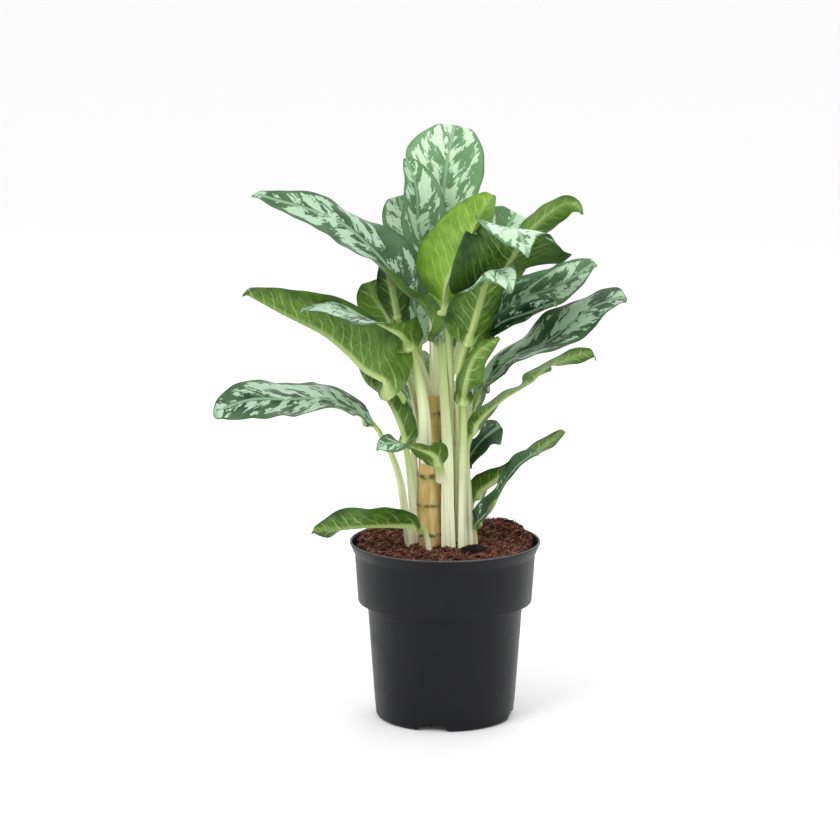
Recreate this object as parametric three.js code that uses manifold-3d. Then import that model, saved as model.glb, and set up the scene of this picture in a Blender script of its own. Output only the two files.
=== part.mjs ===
// Potted Chinese evergreen, a foliage plant in a tapered nursery pot.
// Units are millimetres, +Z up, and the origin is the centre of the pot's base on the floor.
// From the front (looking along +Y) the plant leans its longest leaves to the left and right.
//
// Each leaf is one grown piece: a sheathing foot, a stalk and a blade. It is lofted along a smooth
// rib line, with a cross-section that opens from a flattened stalk into a folded or curled blade.

import * as THREE from 'three';
import { mergeVertices } from 'three/addons/utils/BufferGeometryUtils.js';
import Module from 'manifold-3d';

const wasm = await Module();
wasm.setup();

// ---------------------------------------------------------------- driving dimensions

const GAP = 0.35;              // clearance between neighbouring pieces
const WELD = 1e-4;             // points closer than this are one point
const TOUCH = 1e-3;            // a shared volume below this is left alone
const DEGREE = Math.PI / 180;

const POT_HEIGHT = 160;
const RIM_RADIUS = 85;
const COLLAR_TOP = 149;        // height at which the collar flares out to the rim
const COLLAR_TOP_RADIUS = 80.5;
const COLLAR_FOOT = 106;       // height of the step where the wider collar starts
const COLLAR_FOOT_RADIUS = 77.7;
const NECK_RADIUS = 69.3;      // top of the lower wall, under the step
const FOOT_HEIGHT = 4;
const FOOT_RADIUS = 62;        // bottom of the lower wall
const BASE_RADIUS = 59;
const POT_WALL = 1.5;
const POT_FLOOR = 2.2;
const ROUNDING = 1.2;
const POT_SEGMENTS = 40;

const DRAIN_COUNT = 4;         // raised channels under the floor, a quarter turn apart
const DRAIN_FIRST_ANGLE = -101 * DEGREE;  // one channel opens at the front, a little to the left
const DRAIN_HEIGHT = 6.5;
const DRAIN_TOP_WIDTH = 14;
const DRAIN_FOOT_WIDTH = 28;
const DRAIN_INNER_RADIUS = 43;
const DRAIN_HOLE_RADIUS = 3.5;
const DRAIN_HOLE_PLACE = 49;   // distance of the hole from the pot's axis
const DRAIN_HOLE_SIDES = 12;

const SOIL_LEVEL = 155.5;      // mean height of the soil's surface
const SOIL_SHOULDER = 148;     // height at which the soil leaves the pot's wall
const SOIL_RINGS = [78.2, 66, 54, 42, 30, 16, 0];      // radii of the surface's rings of points
const SOIL_RISE = 0.055;       // slope of the soil up towards the back
const SOIL_DISH = 0.035;       // slope of the soil up towards both sides
const BANK = { place: [52, 42], height: 6, spread: 34 };
const LUMPS = [                // waves that together make the surface uneven
  { height: 0.9, alongX: 0.23, alongY: 0.27 },
  { height: 0.6, alongX: 0.51, alongY: -0.43 },
];
const SOIL_SEGMENTS = 28;

const BLADE_EDGE = 0.8;        // thickness of a blade at its margin
const RIB_THICKNESS = 3.4;     // thickness at the midrib where the blade starts
const RIB_TIP_THICKNESS = 1.2;
const RIB_HALF_WIDTH = 4.5;    // half width of the raised midrib on the underside
const STALK_EDGE = 0.25;       // a stalk's thickness at its edges, in half widths
const STALK_DEPTH = 1.05;      // what its round back adds in the middle
const STALK_FULLNESS = 0.9;    // below 1 the round back stops short of closing at the edges
const STALK_GROOVE = 0.12;     // depth of the channel down its face
const OPENING = 0.1;           // share of the blade over which the stalk opens out
const BASE_ROUNDING = 0.08;    // share of the blade over which its base is rounded in
const TIP_END = 0.985;         // the blade stops just short of its point, which is blunt
const CURVE_SAMPLES = 240;
const FLAT = 1e-3;             // a curl below this, in radians, is none

const STALK_STEPS = 4;
const BLADE_STATIONS = [0, 0.05, 0.14, 0.27, 0.41, 0.55, 0.69, 0.82, 0.93, TIP_END];
const ACROSS_FLAT = [-1, -0.52, 0, 0.52, 1];           // places across a leaf, margin to margin
const ACROSS_CURLED = [-1, -0.7, -0.36, 0, 0.36, 0.7, 1];
const STRONG_CURL = 55;        // degrees from which a leaf gets the finer places

// ---------------------------------------------------------------- leaves
//
// stalk: points from the foot up to the start of the blade; rib: points on to the tip.
// face:  the way the upper side looks, from the start of the blade to its tip.
// roll:  degrees that the blade turns about its rib, from start to tip.
// cup:   degrees that both halves rise from the rib, like the sides of a V.
// left, right: degrees that each half curls over from rib to margin.
// half:  greatest half width; widest: where along the blade it lies; point: 1 is a slim tip.
// foot, neck: half widths of the stalk at its foot and where the blade starts.

const LEAVES = [
  {
    name: 'leaf_long_left',
    stalk: [
      [3, -15, 152], [2, -15, 199], [2, -16, 235], [0, -17, 276], [-2, -17, 308], [-4, -17, 336],
    ],
    rib: [
      [-9, -17, 354], [-18, -18, 371], [-30, -20, 383], [-45, -22, 401], [-63, -25, 422],
      [-90, -29, 446], [-120, -33, 459], [-147, -36, 467], [-167, -38, 474],
    ],
    face: [[0, -0.7, 0.7]],
    roll: [0], cup: [60, 20, 10, 5],
    left: [120, 90, 0, 0], right: [0, 0, 0, -70, 10, 0],
    half: 26, widest: 0.37, point: 0.79, foot: 6.4, neck: 3,
  },
  {
    name: 'leaf_bright',
    stalk: [
      [5, -1.5, 152], [5, -2, 217], [5, -6, 267], [5, -12, 312], [3, -20, 345], [0, -26, 366],
    ],
    rib: [[1, -42, 395], [14, -56, 423], [27, -66, 453], [41, -66, 477]],
    face: [[0.3, 1, 0]],
    roll: [-10, 35, 35], cup: [25, 30, 25],
    left: [0, 15, 15], right: [0],
    half: 34, widest: 0.4, point: 0.73, foot: 3, neck: 3,
  },
  {
    name: 'leaf_nodding',
    stalk: [
      [11, -1.5, 152], [11, -2, 217], [11.5, -8, 275], [11, -18, 300], [13, -30, 324],
      [18, -38, 341],
    ],
    rib: [
      [23, -45, 356], [28, -55, 376], [33, -66, 396], [40, -82, 412], [49, -96, 408],
      [54, -104, 398],
    ],
    face: [[0, 1, 0.1], [0, 0.9, 0.3], [0, 0.3, 1], [0.1, -0.8, 0.6]],
    roll: [0], cup: [20, 15, 0, 0],
    left: [30, 50, 40, 30], right: [0, -30, -90, -40],
    half: 24, widest: 0.3, point: 0.6, foot: 2.8, neck: 2.8,
  },
  {
    name: 'leaf_rising',
    stalk: [[15.5, -14, 150], [15.5, -16, 236], [16, -24, 262], [16, -34, 287]],
    rib: [[17, -48, 310], [26, -57, 336], [47, -64, 353]],
    face: [[0.7, 0.7, 0]],
    roll: [55, -10, -20], cup: [60, 25, 30],
    left: [25, -15, 0], right: [0],
    half: 15, widest: 0.38, point: 0.83, foot: 4.4, neck: 2.6,
  },
  {
    name: 'leaf_left_low',
    stalk: [
      [-29, -12, 151], [-35, -14, 192], [-39, -17, 218], [-47, -20, 243], [-54, -22, 256],
      [-61, -24, 268],
    ],
    rib: [[-88, -34, 287], [-106, -44, 295], [-139, -52, 296], [-167, -60, 297], [-200, -66, 287]],
    face: [[0, -0.8, 0.6]],
    roll: [50, 15, 15], cup: [25, -10, 10],
    left: [-70, 10, 70, 50, 0, -45], right: [-15, -20, 0],
    half: 29, widest: 0.49, point: 0.55, foot: 4.6, neck: 2.4,
  },
  {
    name: 'leaf_veined',
    stalk: [[-24, 2, 168], [-27, -1, 226], [-29, -7, 262], [-34, -18, 285], [-42, -28, 300]],
    rib: [
      [-53, -34, 309], [-70, -38, 319], [-87, -42, 336], [-104, -47, 351], [-121, -52, 361],
      [-138, -56, 370], [-157, -60, 381], [-174, -64, 391],
    ],
    face: [[0.1, 0.5, 0.9], [0.1, 0.4, 0.9], [0.1, 0.15, 0.9]],
    roll: [0], cup: [65, 60, 55, 50, 45],
    left: [0], right: [0],
    half: 38, widest: 0.26, point: 0.52, foot: 3, neck: 2.6,
  },
  {
    name: 'leaf_left_folded',
    stalk: [[-23, 1, 152], [-28, -5, 193], [-31, -12, 226], [-34, -18, 247]],
    rib: [[-40, -20, 268], [-52, -12, 290], [-69, -5, 303], [-78, 2, 320]],
    face: [[0.7, 0.3, 0.6]],
    roll: [15, 15, 10], cup: [35, 35, 30],
    left: [0], right: [-20, 0, 0],
    half: 15, widest: 0.41, point: 0.71, foot: 4.2, neck: 2.8,
  },
  {
    name: 'leaf_curled',
    stalk: [[-4.5, -14, 214], [-4.5, -22, 225], [-6, -32, 235]],
    rib: [[-12, -40, 245], [-24, -48, 252], [-35, -54, 257], [-47, -60, 259], [-60, -64, 257]],
    face: [[0, 0.9, 0.4], [0, 0.2, 0.9], [0, -0.8, 0.5]],
    roll: [0], cup: [20, 5, 0],
    left: [0], right: [0],
    half: 15, widest: 0.46, point: 0.65, foot: 4, neck: 4,
  },
  {
    name: 'leaf_low_left',
    stalk: [[-14, -24, 154], [-16, -27, 168], [-21, -31, 178]],
    rib: [[-42, -38, 181], [-70, -46, 182], [-95, -54, 181], [-117, -60, 182]],
    face: [[0, 0.4, 0.9]],
    roll: [0, 0, 70], cup: [35, 30, 35],
    left: [0, 0, 30], right: [0],
    half: 23, widest: 0.45, point: 0.89, foot: 2.6, neck: 2,
  },
  {
    name: 'leaf_arching',
    stalk: [[-19, -15, 232], [-18.5, -21, 262], [-20, -26, 288], [-24, -29, 311], [-30, -30, 333]],
    rib: [[-36, -33, 345], [-50, -43, 357], [-72, -54, 368], [-99, -66, 378], [-125, -76, 378]],
    face: [[-0.3, 0.9, 0.3], [0, 0, 1], [0, -0.5, 0.85], [0, -0.3, 1]],
    roll: [0], cup: [40, 5, 0],
    left: [0], right: [20, -40, -30],
    half: 21, widest: 0.32, point: 0.7, foot: 6.4, neck: 3.4,
  },
  {
    name: 'leaf_right_long',
    stalk: [[21, -2, 151], [19, -2, 215], [18, -4, 251], [22, -6, 274], [29, -8, 293]],
    rib: [[54, -18, 325], [89, -28, 343], [127, -38, 374], [156, -44, 385]],
    face: [[0.1, -0.8, 0.6]],
    roll: [-35, -35, -25], cup: [20, 10, 0],
    left: [-65, -50, 15, -35, 15], right: [35, 0, 15, -10, 35],
    half: 29, widest: 0.54, point: 0.46, foot: 3.6, neck: 2.6,
  },
  {
    name: 'leaf_twisted',
    stalk: [[22, -9, 151], [20, -10, 207], [18, -13, 239], [21, -16, 256]],
    rib: [
      [33, -28, 277], [50, -42, 295], [75, -54, 313], [85, -64, 325], [124, -70, 339],
      [128, -78, 337],
    ],
    face: [[0, 1, 0.3], [0, 0.2, 0.9], [0, -0.3, 0.9], [0, 0.8, 0.5]],
    roll: [40, 20, 0, -35, -15], cup: [10, 10, 0],
    left: [0], right: [0],
    half: 15, widest: 0.47, point: 0.73, foot: 3.4, neck: 2.6,
  },
  {
    name: 'leaf_low_right',
    stalk: [[23, 9, 149], [23, 10, 177], [25, 10, 194]],
    rib: [[38, 4, 208], [58, -7, 226], [82, -16, 245], [106, -26, 266]],
    face: [[0, 0.6, 0.7]],
    roll: [5, 25, 0], cup: [30, 10, 0],
    left: [0], right: [10, -10, 0],
    half: 17, widest: 0.39, point: 0.77, foot: 2.6, neck: 2.2,
  },
  {
    name: 'leaf_low_edge',
    stalk: [[27, -4, 150], [26, -7, 163], [26, -10, 173]],
    rib: [[40, -19, 192], [48, -26, 210], [62, -33, 232], [81, -39, 248]],
    face: [[0, 0.3, 0.9]],
    roll: [70, 50, 50], cup: [35, 15, 25],
    left: [0, 0, 10], right: [0, -20, 0],
    half: 15, widest: 0.47, point: 0.53, foot: 2.6, neck: 2.2,
  },
  {
    name: 'leaf_broad',
    stalk: [[18, -6, 260], [20, -6, 301], [25, -8, 333], [31, -12, 350]],
    rib: [[43, -37, 394], [61, -66, 430], [58, -92, 448], [61, -116, 445], [67, -130, 431]],
    face: [[0, 1, 0.1], [0, 0.9, 0.5], [0, 0.1, 1], [0, -0.7, 0.7]],
    roll: [25, 35, -10, 10], cup: [15, 5, 0, 0],
    left: [100, -20, -20], right: [25, 40, -10],
    half: 47, widest: 0.47, point: 1, foot: 3.4, neck: 3,
  },
  {
    name: 'leaf_right_far',
    stalk: [[20, 0, 260], [23, 1, 300], [32, 2, 344]],
    rib: [[63, -6, 375], [100, -18, 391], [131, -28, 413]],
    face: [[0.2, -0.8, 0.6]],
    roll: [-10, -15, -20], cup: [25, 5, 10],
    left: [0, -10, 0], right: [0, 0, 10],
    half: 24, widest: 0.51, point: 0.74, foot: 2.8, neck: 2.6,
  },
  {
    name: 'leaf_right_near',
    stalk: [[21, -14, 268], [23, -15, 312], [32, -21, 341]],
    rib: [[48, -36, 360], [76, -54, 373], [94, -72, 383]],
    face: [[0.2, -0.8, 0.6]],
    roll: [5, 30, -5], cup: [40, 50, 25],
    left: [0, 25, 0], right: [0, 10, 10],
    half: 12, widest: 0.42, point: 0.65, foot: 2.8, neck: 2.2,
  },
  {
    name: 'leaf_top',
    stalk: [[0, 16, 266], [-3, 16, 355], [-5, 20, 401]],
    rib: [[-3, 30, 446], [1, 36, 488], [9, 40, 529]],
    face: [[0, -1, 0.2]],
    roll: [20, 5, -35], cup: [25, 25, 0],
    left: [10, 30, -10], right: [0, 10, 0],
    half: 37, widest: 0.72, point: 0.51, foot: 4, neck: 2.6,
  },
  {
    name: 'leaf_spire',
    stalk: [[-6, 5, 293], [-9, 14, 335], [-12, 20, 371], [-16, 19, 402]],
    rib: [[-24, 7, 436], [-26, 1, 473], [-36, 2, 503]],
    face: [[0.6, -0.8, 0.1]],
    roll: [5, -10, 0], cup: [30, 30, 30],
    left: [0], right: [0],
    half: 24, widest: 0.46, point: 0.83, foot: 3.4, neck: 2.6,
  },
  {
    name: 'leaf_back_fan',
    stalk: [[-6, 25, 263], [-10, 30, 300], [-11, 30, 344], [-13, 30, 385]],
    rib: [[-22, 34, 420], [-36, 38, 446], [-42, 38, 466]],
    face: [[-0.2, -1, 0.3]],
    roll: [0, 0, 0], cup: [25, 10, 5],
    left: [0], right: [0],
    half: 21, widest: 0.65, point: 0.5, foot: 4, neck: 2.6,
  },
  {
    name: 'leaf_left_peek',
    stalk: [[-20, 9, 231], [-28, 11, 289], [-42, 14, 336]],
    rib: [[-51, 14, 360], [-62, 14, 376], [-68, 14, 392]],
    face: [[0.2, 1, 0]],
    roll: [0, 5, 5], cup: [25, 10, 5],
    left: [0], right: [0],
    half: 19, widest: 0.53, point: 0.55, foot: 3, neck: 2.6,
  },
  {
    name: 'leaf_left_upper',
    stalk: [[-8, 16.5, 250], [-15, 12, 300], [-30, 4, 335], [-41, 1, 357]],
    rib: [[-45, -1, 376], [-49, -2, 395], [-53, -2, 415]],
    face: [[0.2, 1, 0]],
    roll: [0, 0, 0], cup: [25, 10, 5],
    left: [0], right: [0],
    half: 13, widest: 0.45, point: 0.8, foot: 2.8, neck: 2.2,
  },
  {
    name: 'leaf_dark_back',
    stalk: [[4, 19, 166], [12, 20, 198], [17, 24, 219]],
    rib: [[29, 32, 239], [40, 38, 249], [52, 42, 257]],
    face: [[0, -1, 0.4]],
    roll: [-25, 10, 25], cup: [30, 50, -5],
    left: [0, 35, 0], right: [10, 30, 0],
    half: 17, widest: 0.5, point: 0.66, foot: 2.6, neck: 2.2,
  },
  {
    name: 'leaf_right_top',
    stalk: [[14, 12, 282], [24, 14, 324], [48, 12, 381]],
    rib: [[60, 4, 412], [73, -6, 435], [95, -20, 456], [107, -30, 462], [118, -38, 458]],
    face: [[0.3, 0.9, 0], [0.2, 0.8, 0.3], [0.1, 0.2, 0.9]],
    roll: [0, -10, -75], cup: [30, 40, 15],
    left: [0, 15, 0], right: [0, 20, 20],
    half: 15, widest: 0.43, point: 0.66, foot: 3, neck: 2.6,
  },
  {
    name: 'leaf_back_right',
    stalk: [[3, 28, 291], [15, 30, 340], [31, 32, 394]],
    rib: [[45, 38, 420], [56, 42, 436], [64, 44, 450]],
    face: [[0, -1, 0.3]],
    roll: [0, 0, 0], cup: [25, 10, 5],
    left: [0], right: [0],
    half: 25, widest: 0.66, point: 0.48, foot: 3.4, neck: 2.6,
  },
  {
    name: 'leaf_rear_high',
    stalk: [[-1, 25, 256], [2, 34, 296], [4, 40, 335], [6, 45, 362]],
    rib: [[12, 58, 404], [18, 86, 432], [24, 118, 430]],
    face: [[0, 0, 1]],
    roll: [0], cup: [30, 15, 5],
    left: [0, 10, 15], right: [0, 10, 15],
    half: 29, widest: 0.48, point: 0.75, foot: 3.6, neck: 2.8,
  },
  {
    name: 'leaf_rear_left',
    stalk: [[-9, 22, 250], [-17, 33, 298], [-23, 43, 326]],
    rib: [[-29, 68, 374], [-35, 104, 398], [-38, 146, 388]],
    face: [[0, 0, 1]],
    roll: [10, 0, -10], cup: [30, 15, 5],
    left: [0, 10, 20], right: [0, -10, 0],
    half: 30, widest: 0.46, point: 0.8, foot: 3.6, neck: 2.8,
  },
  {
    name: 'leaf_rear_right',
    stalk: [[3, 24, 238], [9, 33, 278], [13, 38, 304]],
    rib: [[21, 70, 346], [27, 112, 364], [32, 154, 350]],
    face: [[0, 0, 1]],
    roll: [-10, 0, 10], cup: [30, 15, 5],
    left: [0, -10, 0], right: [0, 10, 20],
    half: 29, widest: 0.46, point: 0.8, foot: 3.6, neck: 2.8,
  },
  {
    name: 'leaf_rear_low_left',
    stalk: [[-7, 25, 203], [-15, 33, 236], [-21, 40, 260]],
    rib: [[-31, 68, 294], [-39, 104, 310], [-45, 142, 300]],
    face: [[0, 0, 1]],
    roll: [10, 5, 0], cup: [30, 15, 5],
    left: [0, 10, 20], right: [0, 0, 10],
    half: 25, widest: 0.46, point: 0.8, foot: 3.4, neck: 2.6,
  },
  {
    name: 'leaf_rear_low_right',
    stalk: [[2, 26, 184], [6, 35, 214], [10, 42, 236]],
    rib: [[16, 68, 268], [20, 98, 284], [24, 132, 276]],
    face: [[0, 0, 1]],
    roll: [-5, 0, 0], cup: [30, 15, 5],
    left: [0, 0, 10], right: [0, 10, 20],
    half: 21, widest: 0.46, point: 0.8, foot: 3.2, neck: 2.4,
  },
];

// Bare canes that the leaves grow from: route from inside the soil to the top, radius at the foot.
const CANES = [
  {
    name: 'cane_front',
    route: [[-12.5, -4, 138], [-13, -4, 162], [-14, -3, 205], [-14, -2, 250], [-14, 0, 290]],
    radius: 10.8,
  },
  { name: 'cane_right', route: [[11, 6, 138], [12, 6, 200], [13, 6, 284]], radius: 5.6 },
  { name: 'cane_rear', route: [[-2, 22, 138], [-3, 22, 200], [-3, 21, 262]], radius: 6.4 },
];
const CANE_SIDES = 10;
const CANE_STEPS = 12;
const CANE_TAPER = 0.82;       // radius at the top over the radius at the foot
const NODE_SPACING = 27;       // distance between the ring scars that old leaves left
const NODE_SWELL = 0.7;        // how far a ring scar stands out
const NODE_LENGTH = 5;

// A lump of bark on the soil, beside the right-hand stems.
const BARK = {
  place: [25, -29, 156.5],
  size: [12.5, 6.5, 5.5],
  turn: 8 * DEGREE,
  waves: [                     // they chip the round lump: height as a share, turns along x, y, z
    { share: 0.12, turns: [5, 0, 2] },
    { share: 0.1, turns: [-3, 7, 0] },
  ],
};

// ---------------------------------------------------------------- colours and finishes

const LEAF_GREEN = new THREE.MeshStandardMaterial({ color: 0x5f8f5a, roughness: 0.45, metalness: 0 });
const LEAF_BRIGHT = new THREE.MeshStandardMaterial({ color: 0x7fae3c, roughness: 0.45, metalness: 0 });
const CANE_TAN = new THREE.MeshStandardMaterial({ color: 0xc3ad6a, roughness: 0.6, metalness: 0 });
const SOIL_BROWN = new THREE.MeshStandardMaterial({ color: 0x5e3a2d, roughness: 0.95, metalness: 0 });
const BARK_BLACK = new THREE.MeshStandardMaterial({ color: 0x1d1b1d, roughness: 0.8, metalness: 0 });
const POT_BLACK = new THREE.MeshStandardMaterial({ color: 0x2b2c2f, roughness: 0.5, metalness: 0 });

// ---------------------------------------------------------------- helpers

const vector = (point) => new THREE.Vector3(...point);

// A value between the entries of a list spread evenly from 0 to 1, eased from each to the next.
function along(values, u) {
  const last = values.length - 1;
  if (last === 0) return values[0];
  const place = Math.min(Math.max(u, 0), 1) * last;
  const index = Math.min(Math.floor(place), last - 1);
  const ease = THREE.MathUtils.smoothstep(place - index, 0, 1);
  return THREE.MathUtils.lerp(values[index], values[index + 1], ease);
}

// The same for a list of directions.
function directionAlong(list, u) {
  const axis = (n) => along(list.map((direction) => direction[n]), u);
  return new THREE.Vector3(axis(0), axis(1), axis(2));
}

// Points, tangents and lengths at fine even steps of the parameter of a smooth curve.
function traceCurve(points) {
  const curve = new THREE.CatmullRomCurve3(points.map(vector), false, 'centripetal');
  const trace = [];
  let length = 0;
  for (let i = 0; i <= CURVE_SAMPLES; i++) {
    const t = i / CURVE_SAMPLES;
    const point = curve.getPoint(t);
    if (i > 0) length += point.distanceTo(trace[i - 1].point);
    trace.push({ point, tangent: curve.getTangent(t), length });
  }
  return trace;
}

// The place on a traced curve at a given length from its start.
function placeAt(trace, length) {
  let i = 1;
  while (i < trace.length - 1 && trace[i].length < length) i++;
  const before = trace[i - 1];
  const after = trace[i];
  const share = (length - before.length) / (after.length - before.length);
  return {
    point: before.point.clone().lerp(after.point, share),
    tangent: before.tangent.clone().lerp(after.tangent, share).normalize(),
  };
}

// A closed body from rings of points, each ring the same size, joined in order and capped.
// The same diagonal is used all round, so that the two faces of a blade never cross.
function loft(rings) {
  const size = rings[0].length;
  const positions = rings.flat().flatMap((point) => [point.x, point.y, point.z]);
  const index = [];
  for (let i = 0; i < rings.length - 1; i++) {
    for (let j = 0; j < size; j++) {
      const k = (j + 1) % size;
      const [a, b, c, d] = [i * size + j, i * size + k, (i + 1) * size + k, (i + 1) * size + j];
      // The back of a leaf runs the other way, so its diagonal is turned to match the face.
      if (j < size / 2) index.push(a, b, c, a, c, d);
      else index.push(a, b, d, b, c, d);
    }
  }
  const top = (rings.length - 1) * size;
  for (let j = 0; j < size / 2 - 1; j++) {
    const [m, n] = [size - 1 - j, size - 2 - j];
    index.push(j, m, j + 1, j + 1, m, n);
    index.push(top + j, top + j + 1, top + m, top + j + 1, top + n, top + m);
  }
  const geometry = new THREE.BufferGeometry();
  geometry.setAttribute('position', new THREE.Float32BufferAttribute(positions, 3));
  geometry.setIndex(index);
  return geometry;
}

// three.js geometry to a solid and back.
function toSolid(geometry) {
  const bare = geometry.clone();
  bare.deleteAttribute('normal');
  bare.deleteAttribute('uv');
  const merged = mergeVertices(bare, WELD);
  return new wasm.Manifold(new wasm.Mesh({
    numProp: 3,
    vertProperties: new Float32Array(merged.attributes.position.array),
    triVerts: new Uint32Array(merged.index.array),
  }));
}

function toGeometry(solid) {
  const mesh = solid.getMesh();
  const geometry = new THREE.BufferGeometry();
  geometry.setAttribute('position', new THREE.BufferAttribute(mesh.vertProperties, 3));
  geometry.setIndex(new THREE.BufferAttribute(mesh.triVerts, 1));
  geometry.computeVertexNormals();
  return geometry;
}

const overlaps = (a, b) => {
  const [p, q] = [a.boundingBox(), b.boundingBox()];
  return [0, 1, 2].every((n) => p.min[n] < q.max[n] && q.min[n] < p.max[n]);
};

// A solid less each of the others that it meets; only its main body stays.
function cutBy(solid, others) {
  let left = solid;
  for (const other of others) {
    if (!overlaps(left, other)) continue;
    if (left.intersect(other).volume() < TOUCH) continue;
    left = left.subtract(other);
  }
  return left.decompose().sort((a, b) => b.volume() - a.volume())[0];
}

// ---------------------------------------------------------------- leaf geometry

// Half width of a leaf at u: below 0 along the stalk, from 0 to 1 along the blade.
function halfWidth(leaf, u) {
  if (u <= 0) return THREE.MathUtils.lerp(leaf.neck, leaf.foot, -u);
  const tipPower = leaf.point;
  const basePower = leaf.widest / (1 - leaf.widest) * tipPower;
  const shape = (u / leaf.widest) ** basePower * ((1 - u) / (1 - leaf.widest)) ** tipPower;
  const base = THREE.MathUtils.smoothstep(u, 0, BASE_ROUNDING);
  return leaf.neck * (1 - u) + leaf.half * shape * base;
}

// Thickness of a leaf at u and at v across it, from -1 to 1.
function thickness(leaf, u, v, width) {
  const round = Math.sqrt(1 - (STALK_FULLNESS * v) ** 2);
  const stalk = width * (STALK_EDGE + STALK_DEPTH * round);
  const rib = THREE.MathUtils.lerp(RIB_THICKNESS, RIB_TIP_THICKNESS, Math.max(u, 0));
  const ridge = Math.max(0, 1 - Math.abs(v) * width / RIB_HALF_WIDTH);
  const blade = BLADE_EDGE + (rib - BLADE_EDGE) * ridge;
  return THREE.MathUtils.lerp(stalk, blade, THREE.MathUtils.smoothstep(u, 0, OPENING));
}

// Places across a leaf, closer together where its blade curls hard.
function placesAcross(leaf) {
  const curled = [...leaf.left, ...leaf.right].some((curl) => Math.abs(curl) > STRONG_CURL);
  return curled ? ACROSS_CURLED : ACROSS_FLAT;
}

// One closed ring round the leaf at u: over the face from left to right, and back beneath.
function leafRing(leaf, u, place, grow) {
  const open = THREE.MathUtils.smoothstep(u, 0, OPENING);
  const { point, tangent } = place;
  const normal = directionAlong(leaf.face, u);
  normal.addScaledVector(tangent, -normal.dot(tangent)).normalize();
  normal.applyAxisAngle(tangent, along(leaf.roll, u) * DEGREE);
  const side = new THREE.Vector3().crossVectors(tangent, normal);
  const width = halfWidth(leaf, u);
  const cup = along(leaf.cup, u) * DEGREE * open;
  const face = [];
  const back = [];
  for (const v of placesAcross(leaf)) {
    const hand = Math.sign(v);
    const reach = Math.abs(v);
    const curl = along(v < 0 ? leaf.left : leaf.right, u) * DEGREE * open;
    const turned = cup + curl * reach;
    let out = reach * Math.cos(cup);
    let up = reach * Math.sin(cup);
    if (Math.abs(curl) > FLAT) {
      out = (Math.sin(turned) - Math.sin(cup)) / curl;
      up = (Math.cos(cup) - Math.cos(turned)) / curl;
    }
    const hollow = STALK_GROOVE * reach * reach * (1 - open);
    const outward = side.clone().multiplyScalar(hand * Math.sin(turned) * -1);
    outward.addScaledVector(normal, hand === 0 ? 1 : Math.cos(turned)).normalize();
    const alongSection = side.clone().multiplyScalar(hand * Math.cos(turned));
    alongSection.addScaledVector(normal, hand === 0 ? 0 : Math.sin(turned));
    const middle = point.clone();
    middle.addScaledVector(side, hand * out * width);
    middle.addScaledVector(normal, (up + hollow) * width);
    middle.addScaledVector(alongSection, reach === 1 ? grow : 0);
    face.push(middle.clone().addScaledVector(outward, grow));
    back.push(middle.clone().addScaledVector(outward, -thickness(leaf, u, v, width) - grow));
  }
  return [...face, ...back.reverse()];
}

// A whole leaf, or with grow above 0 the slightly larger form that clears its neighbours.
function leafSolid(leaf, grow = 0) {
  const trace = traceCurve([...leaf.stalk, ...leaf.rib]);
  const bladeStart = (leaf.stalk.length - 1) / (leaf.stalk.length + leaf.rib.length - 1);
  const stalkLength = trace[Math.round(bladeStart * CURVE_SAMPLES)].length;
  const bladeLength = trace[trace.length - 1].length - stalkLength;
  const rings = [];
  for (let i = 0; i < STALK_STEPS; i++) {
    const share = i / STALK_STEPS;
    rings.push(leafRing(leaf, share - 1, placeAt(trace, share * stalkLength), grow));
  }
  for (const u of BLADE_STATIONS) {
    rings.push(leafRing(leaf, u, placeAt(trace, stalkLength + u * bladeLength), grow));
  }
  return toSolid(loft(rings));
}

// ---------------------------------------------------------------- canes, soil, pot

function caneSolid(cane, grow = 0) {
  const trace = traceCurve(cane.route);
  const total = trace[trace.length - 1].length;
  const rings = [];
  for (let i = 0; i <= CANE_STEPS; i++) {
    const length = total * i / CANE_STEPS;
    const { point, tangent } = placeAt(trace, length);
    const side = new THREE.Vector3(1, 0, 0).addScaledVector(tangent, -tangent.x).normalize();
    const front = new THREE.Vector3().crossVectors(tangent, side);
    const fromNode = Math.abs(length - NODE_SPACING * Math.round(length / NODE_SPACING));
    const swell = NODE_SWELL * Math.max(0, 1 - fromNode / NODE_LENGTH);
    const radius = cane.radius * THREE.MathUtils.lerp(1, CANE_TAPER, i / CANE_STEPS) + swell + grow;
    const ring = [];
    for (let j = 0; j < CANE_SIDES; j++) {
      const angle = 2 * Math.PI * j / CANE_SIDES;
      const offset = side.clone().multiplyScalar(radius * Math.cos(angle));
      ring.push(point.clone().add(offset).addScaledVector(front, radius * Math.sin(angle)));
    }
    rings.push(ring);
  }
  return toSolid(loft(rings));
}

// Profile of the pot's outside as [radius, height], from the base up to the lip.
const potOutside = [
  [BASE_RADIUS, 0],
  [FOOT_RADIUS - ROUNDING / 2, ROUNDING],
  [FOOT_RADIUS, FOOT_HEIGHT],
  [NECK_RADIUS, COLLAR_FOOT - 2 * ROUNDING],
  [NECK_RADIUS + ROUNDING / 2, COLLAR_FOOT - ROUNDING],
  [COLLAR_FOOT_RADIUS - ROUNDING / 2, COLLAR_FOOT - ROUNDING / 2],
  [COLLAR_FOOT_RADIUS, COLLAR_FOOT + ROUNDING / 4],
  [COLLAR_TOP_RADIUS, COLLAR_TOP],
  [RIM_RADIUS - ROUNDING / 2, POT_HEIGHT - 2 * ROUNDING],
  [RIM_RADIUS, POT_HEIGHT - ROUNDING],
  [RIM_RADIUS, POT_HEIGHT - ROUNDING / 3],
  [RIM_RADIUS - ROUNDING / 2, POT_HEIGHT],
];

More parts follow.
